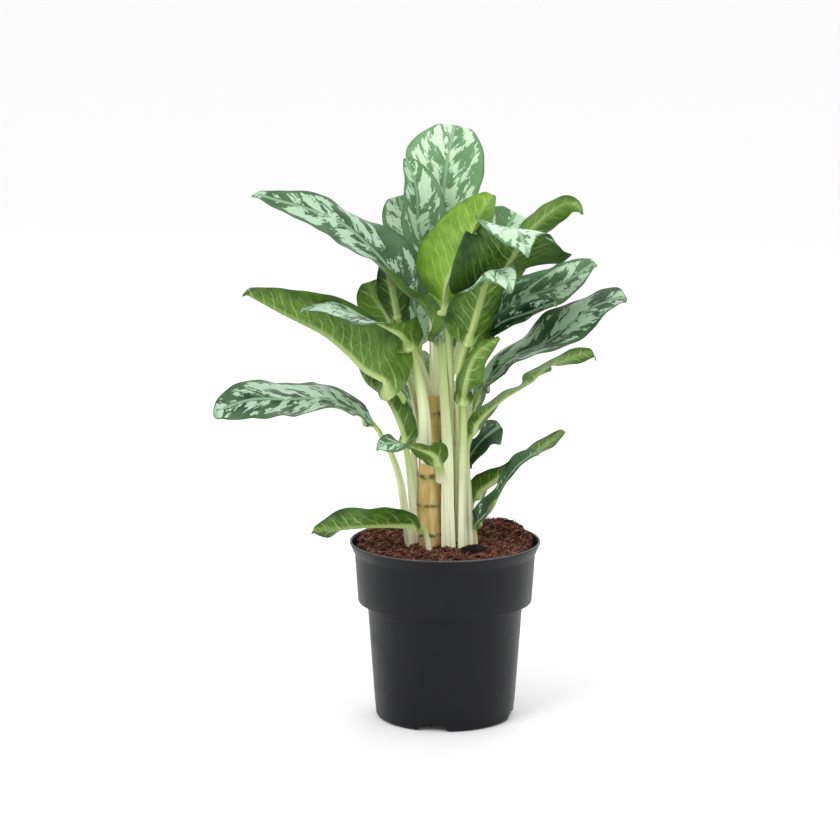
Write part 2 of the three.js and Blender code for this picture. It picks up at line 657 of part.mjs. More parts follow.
// Profile of the inside, from the lip down to the floor.
const potInside = [
  [RIM_RADIUS - ROUNDING, POT_HEIGHT],
  [RIM_RADIUS - POT_WALL - ROUNDING / 2, POT_HEIGHT - ROUNDING],
  [COLLAR_TOP_RADIUS - POT_WALL, COLLAR_TOP + ROUNDING / 2],
  [COLLAR_FOOT_RADIUS - POT_WALL, COLLAR_FOOT + ROUNDING],
  [NECK_RADIUS + ROUNDING - POT_WALL, COLLAR_FOOT + ROUNDING / 4],
  [NECK_RADIUS - POT_WALL, COLLAR_FOOT - 2 * ROUNDING],
  [FOOT_RADIUS - POT_WALL, FOOT_HEIGHT + ROUNDING / 2],
  [BASE_RADIUS, POT_FLOOR],
];

// A radial channel with sloping sides under the pot's floor, or with grow the hump above it.
// It starts a little below the floor, so that it opens downwards.
function drainPrism(angle, grow, innerRadius, outerRadius) {
  const foot = DRAIN_FOOT_WIDTH / 2 + grow;
  const top = DRAIN_TOP_WIDTH / 2 + grow;
  const outline = new THREE.Shape();
  outline.moveTo(-foot, -POT_FLOOR);
  outline.lineTo(foot, -POT_FLOOR);
  outline.lineTo(foot, 0);
  outline.lineTo(top, DRAIN_HEIGHT + grow);
  outline.lineTo(-top, DRAIN_HEIGHT + grow);
  outline.lineTo(-foot, 0);
  const depth = outerRadius - innerRadius;
  const geometry = new THREE.ExtrudeGeometry(outline, { depth, bevelEnabled: false });
  geometry.rotateX(Math.PI / 2);
  geometry.rotateZ(Math.PI / 2);
  geometry.translate(innerRadius, 0, 0);
  geometry.rotateZ(angle);
  return toSolid(geometry);
}

function drainHole(angle) {
  const length = 4 * DRAIN_HEIGHT;
  const geometry = new THREE.CylinderGeometry(
    DRAIN_HOLE_RADIUS, DRAIN_HOLE_RADIUS, length, DRAIN_HOLE_SIDES,
  );
  geometry.rotateX(Math.PI / 2);
  geometry.translate(DRAIN_HOLE_PLACE, 0, 0);
  geometry.rotateZ(angle);
  return toSolid(geometry);
}

function lathe(outline, segments) {
  const points = outline.map(([radius, height]) => new THREE.Vector2(radius, height));
  return new THREE.LatheGeometry(points, segments).rotateX(Math.PI / 2);
}

const drainAngles = Array.from({ length: DRAIN_COUNT }, (_, n) => DRAIN_FIRST_ANGLE + n * Math.PI / 2);

function potSolid() {
  let pot = toSolid(lathe([[0, 0], ...potOutside, ...potInside, [0, POT_FLOOR]], POT_SEGMENTS));
  for (const angle of drainAngles) {
    pot = pot.add(drainPrism(angle, POT_WALL, DRAIN_INNER_RADIUS - POT_WALL, BASE_RADIUS + ROUNDING));
  }
  // What stands out below the floor is trimmed level.
  pot = pot.trimByPlane([0, 0, 1], 0);
  for (const angle of drainAngles) {
    pot = pot.subtract(drainPrism(angle, 0, DRAIN_INNER_RADIUS, RIM_RADIUS));
    pot = pot.subtract(drainHole(angle));
  }
  return pot;
}

// Height of the soil: a little higher at the back and sides, banked up at the back right, and lumpy.
function soilHeight(x, y) {
  const fromBank = Math.hypot(x - BANK.place[0], y - BANK.place[1]);
  const bank = BANK.height * Math.exp(-((fromBank / BANK.spread) ** 2));
  const slope = SOIL_RISE * y + SOIL_DISH * Math.abs(x);
  const lumps = LUMPS.map((wave) => wave.height * Math.sin(wave.alongX * x + wave.alongY * y));
  return SOIL_LEVEL + slope + bank + lumps[0] + lumps[1];
}

// The soil fills the pot's inside up to its shoulder, and its surface rises from there.
function soilSolid(cutters) {
  const wall = potInside.slice(3).reverse().map(([radius, height]) => [radius - GAP, height]);
  wall[0][1] = POT_FLOOR + GAP;
  const [collarTop, collarFoot] = [potInside[2], potInside[3]];
  const share = (SOIL_SHOULDER - collarFoot[1]) / (collarTop[1] - collarFoot[1]);
  const shoulder = THREE.MathUtils.lerp(collarFoot[0], collarTop[0], share) - GAP;
  const surface = SOIL_RINGS.map((radius) => [radius, SOIL_LEVEL]);
  const outline = [[0, POT_FLOOR + GAP], ...wall, [shoulder, SOIL_SHOULDER], ...surface];
  const geometry = lathe(outline, SOIL_SEGMENTS);
  const position = geometry.attributes.position;
  for (let i = 0; i < position.count; i++) {
    if (position.getZ(i) <= SOIL_SHOULDER) continue;
    position.setZ(i, soilHeight(position.getX(i), position.getY(i)));
  }
  return cutBy(toSolid(geometry), cutters);
}

function barkSolid(grow = 0) {
  const ball = new THREE.IcosahedronGeometry(1, 1);
  const geometry = mergeVertices(ball.deleteAttribute('normal').deleteAttribute('uv'));
  const position = geometry.attributes.position;
  for (let i = 0; i < position.count; i++) {
    const point = new THREE.Vector3().fromBufferAttribute(position, i);
    let swell = 1;
    for (const wave of BARK.waves) swell += wave.share * Math.sin(vector(wave.turns).dot(point));
    point.multiplyScalar(swell).multiply(vector(BARK.size.map((half) => half + grow)));
    position.setXYZ(i, point.x, point.y, point.z);
  }
  geometry.rotateZ(BARK.turn);
  geometry.translate(...BARK.place);
  return toSolid(geometry);
}

// ---------------------------------------------------------------- assembly

const part = new THREE.Group();

function addPiece(name, solid, material) {
  const mesh = new THREE.Mesh(toGeometry(solid), material);
  mesh.name = name;
  part.add(mesh);
}

// Each later piece makes way for the earlier ones, as leaf feet wrap round what stands inside them.
const cleared = [];
const brightLeaves = [
  'leaf_bright', 'leaf_veined', 'leaf_rising', 'leaf_broad', 'leaf_nodding', 'leaf_low_left',
];
for (const cane of CANES) {
  addPiece(cane.name, cutBy(caneSolid(cane), cleared), CANE_TAN);
  cleared.push(caneSolid(cane, GAP));
}
for (const leaf of LEAVES) {
  const material = brightLeaves.includes(leaf.name) ? LEAF_BRIGHT : LEAF_GREEN;
  addPiece(leaf.name, cutBy(leafSolid(leaf), cleared), material);
  cleared.push(leafSolid(leaf, GAP));
}
addPiece('bark_lump', cutBy(barkSolid(), cleared), BARK_BLACK);
cleared.push(barkSolid(GAP));
const humps = drainAngles.map((angle) =>
  drainPrism(angle, POT_WALL + GAP, DRAIN_INNER_RADIUS - POT_WALL - GAP, RIM_RADIUS));
addPiece('soil', soilSolid([...cleared, ...humps]), SOIL_BROWN);
addPiece('pot', potSolid(), POT_BLACK);

export default part;
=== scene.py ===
# %% [markdown]
# # A potted Chinese evergreen, dressed for its portrait
# The imported model holds every piece of the plant at its real size: leaves, canes, soil and pot.
# Its leaves are coarse, so this lesson grows each one again with a finer skin, gives it veins,
# silver flecks and a waxy surface, crumbles the soil, and lights it all like a studio photograph.

# %% Load the frame and count its pieces
import math
import random

import bmesh
import bpy
import numpy as np
from mathutils import Matrix, Vector, noise


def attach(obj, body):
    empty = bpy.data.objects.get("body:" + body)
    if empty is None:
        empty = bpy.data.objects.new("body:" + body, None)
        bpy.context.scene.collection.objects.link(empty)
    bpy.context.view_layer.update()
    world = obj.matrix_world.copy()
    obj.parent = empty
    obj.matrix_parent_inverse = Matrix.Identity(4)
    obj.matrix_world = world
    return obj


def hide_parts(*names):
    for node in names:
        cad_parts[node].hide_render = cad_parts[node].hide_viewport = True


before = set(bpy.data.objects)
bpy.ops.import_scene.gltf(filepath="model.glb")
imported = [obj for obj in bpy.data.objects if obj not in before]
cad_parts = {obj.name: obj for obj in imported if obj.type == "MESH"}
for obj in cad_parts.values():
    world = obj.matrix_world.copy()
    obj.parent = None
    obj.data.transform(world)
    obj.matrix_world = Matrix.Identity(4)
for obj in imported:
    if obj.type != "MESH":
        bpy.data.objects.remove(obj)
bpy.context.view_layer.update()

MM = 0.001
print("pieces in the model:", len(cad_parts))

# %% [markdown]
# ## The leaves, written down
# A leaf is described by a few lines that a gardener could sketch: the points its stalk and rib pass
# through, the way its face looks, and how its two halves fold and curl. The same values shape the
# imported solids, so each fine leaf lies where the coarse one does.
#
# - stalk, rib: points in millimetres, from the foot to the blade, and on to the tip
# - face: the way the upper side looks; roll: degrees that it turns about the rib
# - cup: degrees that both halves rise; left, right: degrees that each half curls over
# - half: greatest half width; widest: where it lies; point: how slim the tip is
# - foot, neck: half widths of the stalk at its ends
# - look: three numbers from 0 to 1: how light the green of the face is, how much of it is flecked
#   with silver, and how bright and yellow the underside is

# %% Upright leaves in the middle of the plant
leaves = []


def describe(name, **facts):
    """Writes one leaf down. What a leaf doesn't say is as these common facts have it."""
    common = {
        "face": [(0, 0, 1)], "roll": [0], "cup": [30, 15, 5], "left": [0], "right": [0],
        "widest": 0.46, "point": 0.8, "foot": 3.4, "neck": 2.6, "look": (0.45, 0.6, 0.4),
    }
    leaves.append({"name": name, **common, **facts})


describe(
    "top", look=(0.75, 0.55, 0.5),
    stalk=[(0, 16, 266), (-3, 16, 355), (-5, 20, 401)],
    rib=[(-3, 30, 446), (1, 36, 488), (9, 40, 529)],
    face=[(0, -1, 0.2)], roll=[20, 5, -35], cup=[25, 25, 0], left=[10, 30, -10], right=[0, 10, 0],
    half=37, widest=0.72, point=0.51, foot=4,
)
describe(
    "spire", look=(0.6, 0.4, 0.4),
    stalk=[(-6, 5, 293), (-9, 14, 335), (-12, 20, 371), (-16, 19, 402)],
    rib=[(-24, 7, 436), (-26, 1, 473), (-36, 2, 503)],
    face=[(0.6, -0.8, 0.1)], roll=[5, -10, 0], cup=[30, 30, 30],
    half=24, point=0.83,
)
describe(
    "back_fan", look=(0.55, 0.45, 0.4),
    stalk=[(-6, 25, 263), (-10, 30, 300), (-11, 30, 344), (-13, 30, 385)],
    rib=[(-22, 34, 420), (-36, 38, 446), (-42, 38, 466)],
    face=[(-0.2, -1, 0.3)], cup=[25, 10, 5],
    half=21, widest=0.65, point=0.5, foot=4,
)
describe(
    "bright", look=(0.6, 0.4, 1.0),
    stalk=[(5, -1.5, 152), (5, -2, 217), (5, -6, 267), (5, -12, 312), (3, -20, 345), (0, -26, 366)],
    rib=[(1, -42, 395), (14, -56, 423), (27, -66, 453), (41, -66, 477)],
    face=[(0.3, 1, 0)], roll=[-10, 35, 35], cup=[25, 30, 25], left=[0, 15, 15],
    half=34, widest=0.4, point=0.73, foot=3, neck=3,
)
describe(
    "broad", look=(0.5, 0.75, 0.05),
    stalk=[(18, -6, 260), (20, -6, 301), (25, -8, 333), (31, -12, 350)],
    rib=[(43, -37, 394), (61, -66, 430), (58, -92, 448), (61, -116, 445), (67, -130, 431)],
    face=[(0, 1, 0.1), (0, 0.9, 0.5), (0, 0.1, 1), (0, -0.7, 0.7)],
    roll=[25, 35, -10, 10], cup=[15, 5, 0, 0], left=[100, -20, -20], right=[25, 40, -10],
    half=47, widest=0.47, point=1, neck=3,
)
describe(
    "nodding", look=(0.5, 0.85, 0.15),
    stalk=[
        (11, -1.5, 152), (11, -2, 217), (11.5, -8, 275), (11, -18, 300), (13, -30, 324),
        (18, -38, 341),
    ],
    rib=[(23, -45, 356), (28, -55, 376), (33, -66, 396), (40, -82, 412), (49, -96, 408), (54, -104, 398)],
    face=[(0, 1, 0.1), (0, 0.9, 0.3), (0, 0.3, 1), (0.1, -0.8, 0.6)],
    cup=[20, 15, 0, 0], left=[30, 50, 40, 30], right=[0, -30, -90, -40],
    half=24, widest=0.3, point=0.6, foot=2.8, neck=2.8,
)
describe(
    "rising", look=(0.4, 0.3, 0.35),
    stalk=[(15.5, -14, 150), (15.5, -16, 236), (16, -24, 262), (16, -34, 287)],
    rib=[(17, -48, 310), (26, -57, 336), (47, -64, 353)],
    face=[(0.7, 0.7, 0)], roll=[55, -10, -20], cup=[60, 25, 30], left=[25, -15, 0],
    half=15, widest=0.38, point=0.83, foot=4.4,
)
describe(
    "right_top", look=(0.6, 0.8, 0.45),
    stalk=[(14, 12, 282), (24, 14, 324), (48, 12, 381)],
    rib=[(60, 4, 412), (73, -6, 435), (95, -20, 456), (107, -30, 462), (118, -38, 458)],
    face=[(0.3, 0.9, 0), (0.2, 0.8, 0.3), (0.1, 0.2, 0.9)],
    roll=[0, -10, -75], cup=[30, 40, 15], left=[0, 15, 0], right=[0, 20, 20],
    half=15, widest=0.43, point=0.66, foot=3,
)
describe(
    "back_right", look=(0.65, 0.6, 0.4),
    stalk=[(3, 28, 291), (15, 30, 340), (31, 32, 394)],
    rib=[(45, 38, 420), (56, 42, 436), (64, 44, 450)],
    face=[(0, -1, 0.3)], cup=[25, 10, 5],
    half=25, widest=0.66, point=0.48,
)
print("middle leaves:", len(leaves))

# %% Leaves that reach out to the left
describe(
    "long_left", look=(0.26, 0.5, 0.3),
    stalk=[(3, -15, 152), (2, -15, 199), (2, -16, 235), (0, -17, 276), (-2, -17, 308), (-4, -17, 336)],
    rib=[
        (-9, -17, 354), (-18, -18, 371), (-30, -20, 383), (-45, -22, 401), (-63, -25, 422),
        (-90, -29, 446), (-120, -33, 459), (-147, -36, 467), (-167, -38, 474),
    ],
    face=[(0, -0.7, 0.7)], cup=[60, 20, 10, 5], left=[120, 90, 0, 0], right=[0, 0, 0, -70, 10, 0],
    half=26, widest=0.37, point=0.79, foot=6.4, neck=3,
)
describe(
    "left_low", look=(0.12, 0.66, 0.5),
    stalk=[
        (-29, -12, 151), (-35, -14, 192), (-39, -17, 218), (-47, -20, 243), (-54, -22, 256),
        (-61, -24, 268),
    ],
    rib=[(-88, -34, 287), (-106, -44, 295), (-139, -52, 296), (-167, -60, 297), (-200, -66, 287)],
    face=[(0, -0.8, 0.6)],
    roll=[50, 15, 15], cup=[25, -10, 10], left=[-70, 10, 70, 50, 0, -45], right=[-15, -20, 0],
    half=29, widest=0.49, point=0.55, foot=4.6, neck=2.4,
)
describe(
    "veined", look=(0.4, 0.75, 0.3),
    stalk=[(-24, 2, 168), (-27, -1, 226), (-29, -7, 262), (-34, -18, 285), (-42, -28, 300)],
    rib=[
        (-53, -34, 309), (-70, -38, 319), (-87, -42, 336), (-104, -47, 351), (-121, -52, 361),
        (-138, -56, 370), (-157, -60, 381), (-174, -64, 391),
    ],
    face=[(0.1, 0.5, 0.9), (0.1, 0.4, 0.9), (0.1, 0.15, 0.9)], cup=[65, 60, 55, 50, 45],
    half=38, widest=0.26, point=0.52, foot=3,
)
describe(
    "left_folded", look=(0.25, 0.3, 0.15),
    stalk=[(-23, 1, 152), (-28, -5, 193), (-31, -12, 226), (-34, -18, 247)],
    rib=[(-40, -20, 268), (-52, -12, 290), (-69, -5, 303), (-78, 2, 320)],
    face=[(0.7, 0.3, 0.6)], roll=[15, 15, 10], cup=[35, 35, 30], right=[-20, 0, 0],
    half=15, widest=0.41, point=0.71, foot=4.2, neck=2.8,
)
describe(
    "curled", look=(0.3, 0.5, 0.3),
    stalk=[(-4.5, -14, 214), (-4.5, -22, 225), (-6, -32, 235)],
    rib=[(-12, -40, 245), (-24, -48, 252), (-35, -54, 257), (-47, -60, 259), (-60, -64, 257)],
    face=[(0, 0.9, 0.4), (0, 0.2, 0.9), (0, -0.8, 0.5)], cup=[20, 5, 0],
    half=15, point=0.65, foot=4, neck=4,
)
describe(
    "low_left", look=(0.4, 0.3, 0.15),
    stalk=[(-14, -24, 154), (-16, -27, 168), (-21, -31, 178)],
    rib=[(-42, -38, 181), (-70, -46, 182), (-95, -54, 181), (-117, -60, 182)],
    face=[(0, 0.4, 0.9)], roll=[0, 0, 70], cup=[35, 30, 35], left=[0, 0, 30],
    half=23, widest=0.45, point=0.89, foot=2.6, neck=2,
)
describe(
    "arching", look=(0.3, 0.75, 0.3),
    stalk=[(-19, -15, 232), (-18.5, -21, 262), (-20, -26, 288), (-24, -29, 311), (-30, -30, 333)],
    rib=[(-36, -33, 345), (-50, -43, 357), (-72, -54, 368), (-99, -66, 378), (-125, -76, 378)],
    face=[(-0.3, 0.9, 0.3), (0, 0, 1), (0, -0.5, 0.85), (0, -0.3, 1)],
    cup=[40, 5, 0], right=[20, -40, -30],
    half=21, widest=0.32, point=0.7, foot=6.4, neck=3.4,
)
describe(
    "left_peek", look=(0.4, 0.3, 0.3),
    stalk=[(-20, 9, 231), (-28, 11, 289), (-42, 14, 336)],
    rib=[(-51, 14, 360), (-62, 14, 376), (-68, 14, 392)],
    face=[(0.2, 1, 0)], roll=[0, 5, 5], cup=[25, 10, 5],
    half=19, widest=0.53, point=0.55, foot=3,
)
describe(
    "left_upper", look=(0.3, 0.3, 0.0),
    stalk=[(-8, 16.5, 250), (-15, 12, 300), (-30, 4, 335), (-41, 1, 357)],
    rib=[(-45, -1, 376), (-49, -2, 395), (-53, -2, 415)],
    face=[(0.2, 1, 0)], cup=[25, 10, 5],
    half=13, widest=0.45, foot=2.8, neck=2.2,
)
print("with those on the left:", len(leaves))

# %% Leaves that reach out to the right
describe(
    "right_long", look=(0.14, 0.62, 0.3),
    stalk=[(21, -2, 151), (19, -2, 215), (18, -4, 251), (22, -6, 274), (29, -8, 293)],
    rib=[(54, -18, 325), (89, -28, 343), (127, -38, 374), (156, -44, 385)],
    face=[(0.1, -0.8, 0.6)],
    roll=[-35, -35, -25], cup=[20, 10, 0], left=[-65, -50, 15, -35, 15], right=[35, 0, 15, -10, 35],
    half=29, widest=0.54, point=0.46, foot=3.6,
)
describe(
    "right_far", look=(0.45, 0.6, 0.4),
    stalk=[(20, 0, 260), (23, 1, 300), (32, 2, 344)],
    rib=[(63, -6, 375), (100, -18, 391), (131, -28, 413)],
    face=[(0.2, -0.8, 0.6)],
    roll=[-10, -15, -20], cup=[25, 5, 10], left=[0, -10, 0], right=[0, 0, 10],
    half=24, widest=0.51, point=0.74, foot=2.8,
)
describe(
    "right_near", look=(0.0, 0.25, 0.4),
    stalk=[(21, -14, 268), (23, -15, 312), (32, -21, 341)],
    rib=[(48, -36, 360), (76, -54, 373), (94, -72, 383)],
    face=[(0.2, -0.8, 0.6)], roll=[5, 30, -5], cup=[40, 50, 25], left=[0, 25, 0], right=[0, 10, 10],
    half=12, widest=0.42, point=0.65, foot=2.8, neck=2.2,
)
describe(
    "twisted", look=(0.2, 0.35, 0.25),
    stalk=[(22, -9, 151), (20, -10, 207), (18, -13, 239), (21, -16, 256)],
    rib=[
        (33, -28, 277), (50, -42, 295), (75, -54, 313), (85, -64, 325), (124, -70, 339),
        (128, -78, 337),
    ],
    face=[(0, 1, 0.3), (0, 0.2, 0.9), (0, -0.3, 0.9), (0, 0.8, 0.5)],
    roll=[40, 20, 0, -35, -15], cup=[10, 10, 0],
    half=15, widest=0.47, point=0.73,
)
describe(
    "low_right", look=(0.2, 0.3, 0.2),
    stalk=[(23, 9, 149), (23, 10, 177), (25, 10, 194)],
    rib=[(38, 4, 208), (58, -7, 226), (82, -16, 245), (106, -26, 266)],
    face=[(0, 0.6, 0.7)], roll=[5, 25, 0], cup=[30, 10, 0], right=[10, -10, 0],
    half=17, widest=0.39, point=0.77, foot=2.6, neck=2.2,
)
describe(
    "low_edge", look=(0.15, 0.2, 0.2),
    stalk=[(27, -4, 150), (26, -7, 163), (26, -10, 173)],
    rib=[(40, -19, 192), (48, -26, 210), (62, -33, 232), (81, -39, 248)],
    face=[(0, 0.3, 0.9)], roll=[70, 50, 50], cup=[35, 15, 25], left=[0, 0, 10], right=[0, -20, 0],
    half=15, widest=0.47, point=0.53, foot=2.6, neck=2.2,
)
describe(
    "dark_back", look=(0.1, 0.25, 0.3),
    stalk=[(4, 19, 166), (12, 20, 198), (17, 24, 219)],
    rib=[(29, 32, 239), (40, 38, 249), (52, 42, 257)],
    face=[(0, -1, 0.4)], roll=[-25, 10, 25], cup=[30, 50, -5], left=[0, 35, 0], right=[10, 30, 0],
    half=17, widest=0.5, point=0.66, foot=2.6, neck=2.2,
)
print("with those on the right:", len(leaves))

# %% Leaves behind, which the photograph hides
describe(
    "rear_high",
    stalk=[(-1, 25, 256), (2, 34, 296), (4, 40, 335), (6, 45, 362)],
    rib=[(12, 58, 404), (18, 86, 432), (24, 118, 430)],
    left=[0, 10, 15], right=[0, 10, 15], half=29, widest=0.48, point=0.75, foot=3.6, neck=2.8,
)
describe(
    "rear_left",
    stalk=[(-9, 22, 250), (-17, 33, 298), (-23, 43, 326)],
    rib=[(-29, 68, 374), (-35, 104, 398), (-38, 146, 388)],
    roll=[10, 0, -10], left=[0, 10, 20], right=[0, -10, 0], half=30, foot=3.6, neck=2.8,
)
describe(
    "rear_right",
    stalk=[(3, 24, 238), (9, 33, 278), (13, 38, 304)],
    rib=[(21, 70, 346), (27, 112, 364), (32, 154, 350)],
    roll=[-10, 0, 10], left=[0, -10, 0], right=[0, 10, 20], half=29, foot=3.6, neck=2.8,
)
describe(
    "rear_low_left",
    stalk=[(-7, 25, 203), (-15, 33, 236), (-21, 40, 260)],
    rib=[(-31, 68, 294), (-39, 104, 310), (-45, 142, 300)],
    roll=[10, 5, 0], left=[0, 10, 20], right=[0, 0, 10], half=25,
)
describe(
    "rear_low_right",
    stalk=[(2, 26, 184), (6, 35, 214), (10, 42, 236)],
    rib=[(16, 68, 268), (20, 98, 284), (24, 132, 276)],
    roll=[-5, 0, 0], left=[0, 0, 10], right=[0, 10, 20], half=21, foot=3.2, neck=2.4,
)
print("all leaves:", len(leaves))

# %% [markdown]
# ## The line of a leaf
# The rib is a smooth curve through a handful of points. A centripetal spline is the right one: it
# passes through every point and never loops at sharp turns. It is walked in small steps, so that
# rings can later be set at any length along it.

# %% Walk a smooth curve through points
CURVE_STEPS = 240


def knot_gap(a, b):
    return max(np.dot(b - a, b - a) ** 0.25, 1e-4)


def span(p0, p1, p2, p3, t):
    """Points of the curve between p1 and p2 at the shares t."""
    before, here, after = knot_gap(p0, p1), knot_gap(p1, p2), knot_gap(p2, p3)
    start = ((p1 - p0) / before - (p2 - p0) / (before + here) + (p2 - p1) / here) * here
    end = ((p2 - p1) / here - (p3 - p1) / (here + after) + (p3 - p2) / after) * here
    t = t[:, None]
    bend = (2 * p1 - 2 * p2 + start + end) * t**3
    return p1 + start * t + (3 * p2 - 3 * p1 - 2 * start - end) * t**2 + bend


def walk(points):
    """Fine points along the curve, the directions there, and the lengths walked."""
    p = np.array(points, float) * MM
    p = np.vstack([2 * p[0] - p[1], p, 2 * p[-1] - p[-2]])
    shares = np.linspace(0, len(p) - 3, CURVE_STEPS + 1)
    spans = np.minimum(shares.astype(int), len(p) - 4)
    line = np.vstack([span(*p[n : n + 4], shares[spans == n] - n) for n in range(len(p) - 3)])
    ways = np.gradient(line, axis=0)
    steps = np.linalg.norm(np.diff(line, axis=0), axis=1)
    return line, ways, np.concatenate([[0], np.cumsum(steps)])


def at_lengths(walked, lengths, values):
    """The rows of values, such as points, that lie at the lengths walked."""
    return np.stack([np.interp(walked, lengths, column) for column in values.T], -1)


def unit(vectors):
    return vectors / np.linalg.norm(vectors, axis=-1, keepdims=True)


line, ways, lengths = walk(leaves[0]["stalk"] + leaves[0]["rib"])
print(f"the {leaves[0]['name']} leaf is {lengths[-1] * 1000:.0f} mm from foot to tip")

# %% [markdown]
# ## Values that change along a leaf
# Fold, curl and facing are given at a few even steps from the start of the blade to its tip.
# Between them they ease from one to the next, with no kinks.

# %% Ease between values given at even steps
def ease(low, high, value):
    share = np.clip((value - low) / (high - low), 0, 1)
    return share * share * (3 - 2 * share)


def along(values, share):
    values = np.array(values, float)
    if len(values) == 1:
        return np.repeat(values, len(share), axis=0)
    place = np.clip(share, 0, 1) * (len(values) - 1)
    index = np.minimum(place.astype(int), len(values) - 2)
    step = ease(0, 1, place - index).reshape([-1] + [1] * (values.ndim - 1))
    return values[index] * (1 - step) + values[index + 1] * step


print("halfway between 10 and 20:", along([10, 20], np.array([0.5]))[0])

# %% [markdown]
# ## The outline and the thickness
# A blade is widest at one place and falls off to both ends, faster or slower for a blunt or a slim
# tip. It is thin at the margin and thickens to the rib, and the stalk is a stout rod with a shallow
# groove along its face.

# %% Width and thickness of a leaf
BLADE_EDGE = 0.5 * MM
RIB_THICK = 3.2 * MM
RIB_TIP_THICK = 0.7 * MM
RIB_HALF = 3.8 * MM
OPENING = 0.1
BASE_ROUNDING = 0.08
STALK_EDGE = 0.25   # thickness of the stalk at its edges, and what it gains to its middle,
STALK_DEPTH = 1.05  # in half widths
STALK_ROUND = 0.9
STALK_GROOVE = 0.12
RIB_TAPER = 0.7
RIDGE_POWER = 1.5


def half_width(leaf, u):
    blade = np.clip(u, 1e-9, 1)
    base_power = leaf["widest"] / (1 - leaf["widest"]) * leaf["point"]
    rise = (blade / leaf["widest"]) ** base_power
    fall = ((1 - blade) / (1 - leaf["widest"])) ** leaf["point"]
    wide = leaf["neck"] * (1 - blade) + leaf["half"] * rise * fall * ease(0, BASE_ROUNDING, blade)
    stalk = leaf["neck"] + (leaf["foot"] - leaf["neck"]) * -u
    return np.where(u <= 0, stalk, wide) * MM


def thickness(u, v, width):
    stalk = width * (STALK_EDGE + STALK_DEPTH * np.sqrt(1 - (STALK_ROUND * v) ** 2))
    rib = RIB_THICK + (RIB_TIP_THICK - RIB_THICK) * np.clip(u, 0, 1) ** RIB_TAPER
    ridge = np.clip(1 - np.abs(v) * width / RIB_HALF, 0, 1) ** RIDGE_POWER
    blade = BLADE_EDGE + (rib - BLADE_EDGE) * ridge
    return stalk + (blade - stalk) * ease(0, OPENING, u)


for u in (0.2, 0.5, 0.8):
    width = half_width(leaves[0], np.array(u))
    print(f"half width at {u}: {width * 1000:.1f} mm")

# %% [markdown]
# ## From numbers to a surface
# At each step along the rib stands a cross-section: a V that opens out of the grooved stalk, each
# of whose arms may curl. The face is laid along it, and the underside follows at the leaf's
# thickness. A slight wave runs along the margins, the tip droops, and a stalk that clasps another
# one high above the soil starts as a wedge. Beside the points, each ring keeps facts that the
# colours need later: how far along and across the blade it is, in metres and as shares, and which
# side it is on.

# %% Rings of points round a leaf
STALK_ROWS = 18
BLADE_ROWS = 84
ACROSS = 27
LAST_ROW = 0.985      # rows close up towards the tip and end just short of it
ROWS_TO_TIP = 1.7
ROWS_TO_RIB = 1.25    # points across close up towards the rib
WAVE = 0.5 * MM
WAVE_LENGTH = 23 * MM
HOOK = 3.5 * MM       # how far the tip droops, from this share of the blade
HOOK_START = 0.95
SHEATH_HEIGHT = 165 * MM
WEDGE_END = -0.8      # a wedge is full from here on, as a share of the stalk before the blade
WEDGE_WIDTH = 0.4     # its width and thickness at the foot, as shares
WEDGE_THICK = 0.3
FLAT = 1e-3           # the least curl that the arcs are worked out for


def there_and_back(upper, lower):
    """Rows that run over the face from left to right and return along the underside."""
    return np.concatenate([upper, lower[:, ::-1]], axis=1)


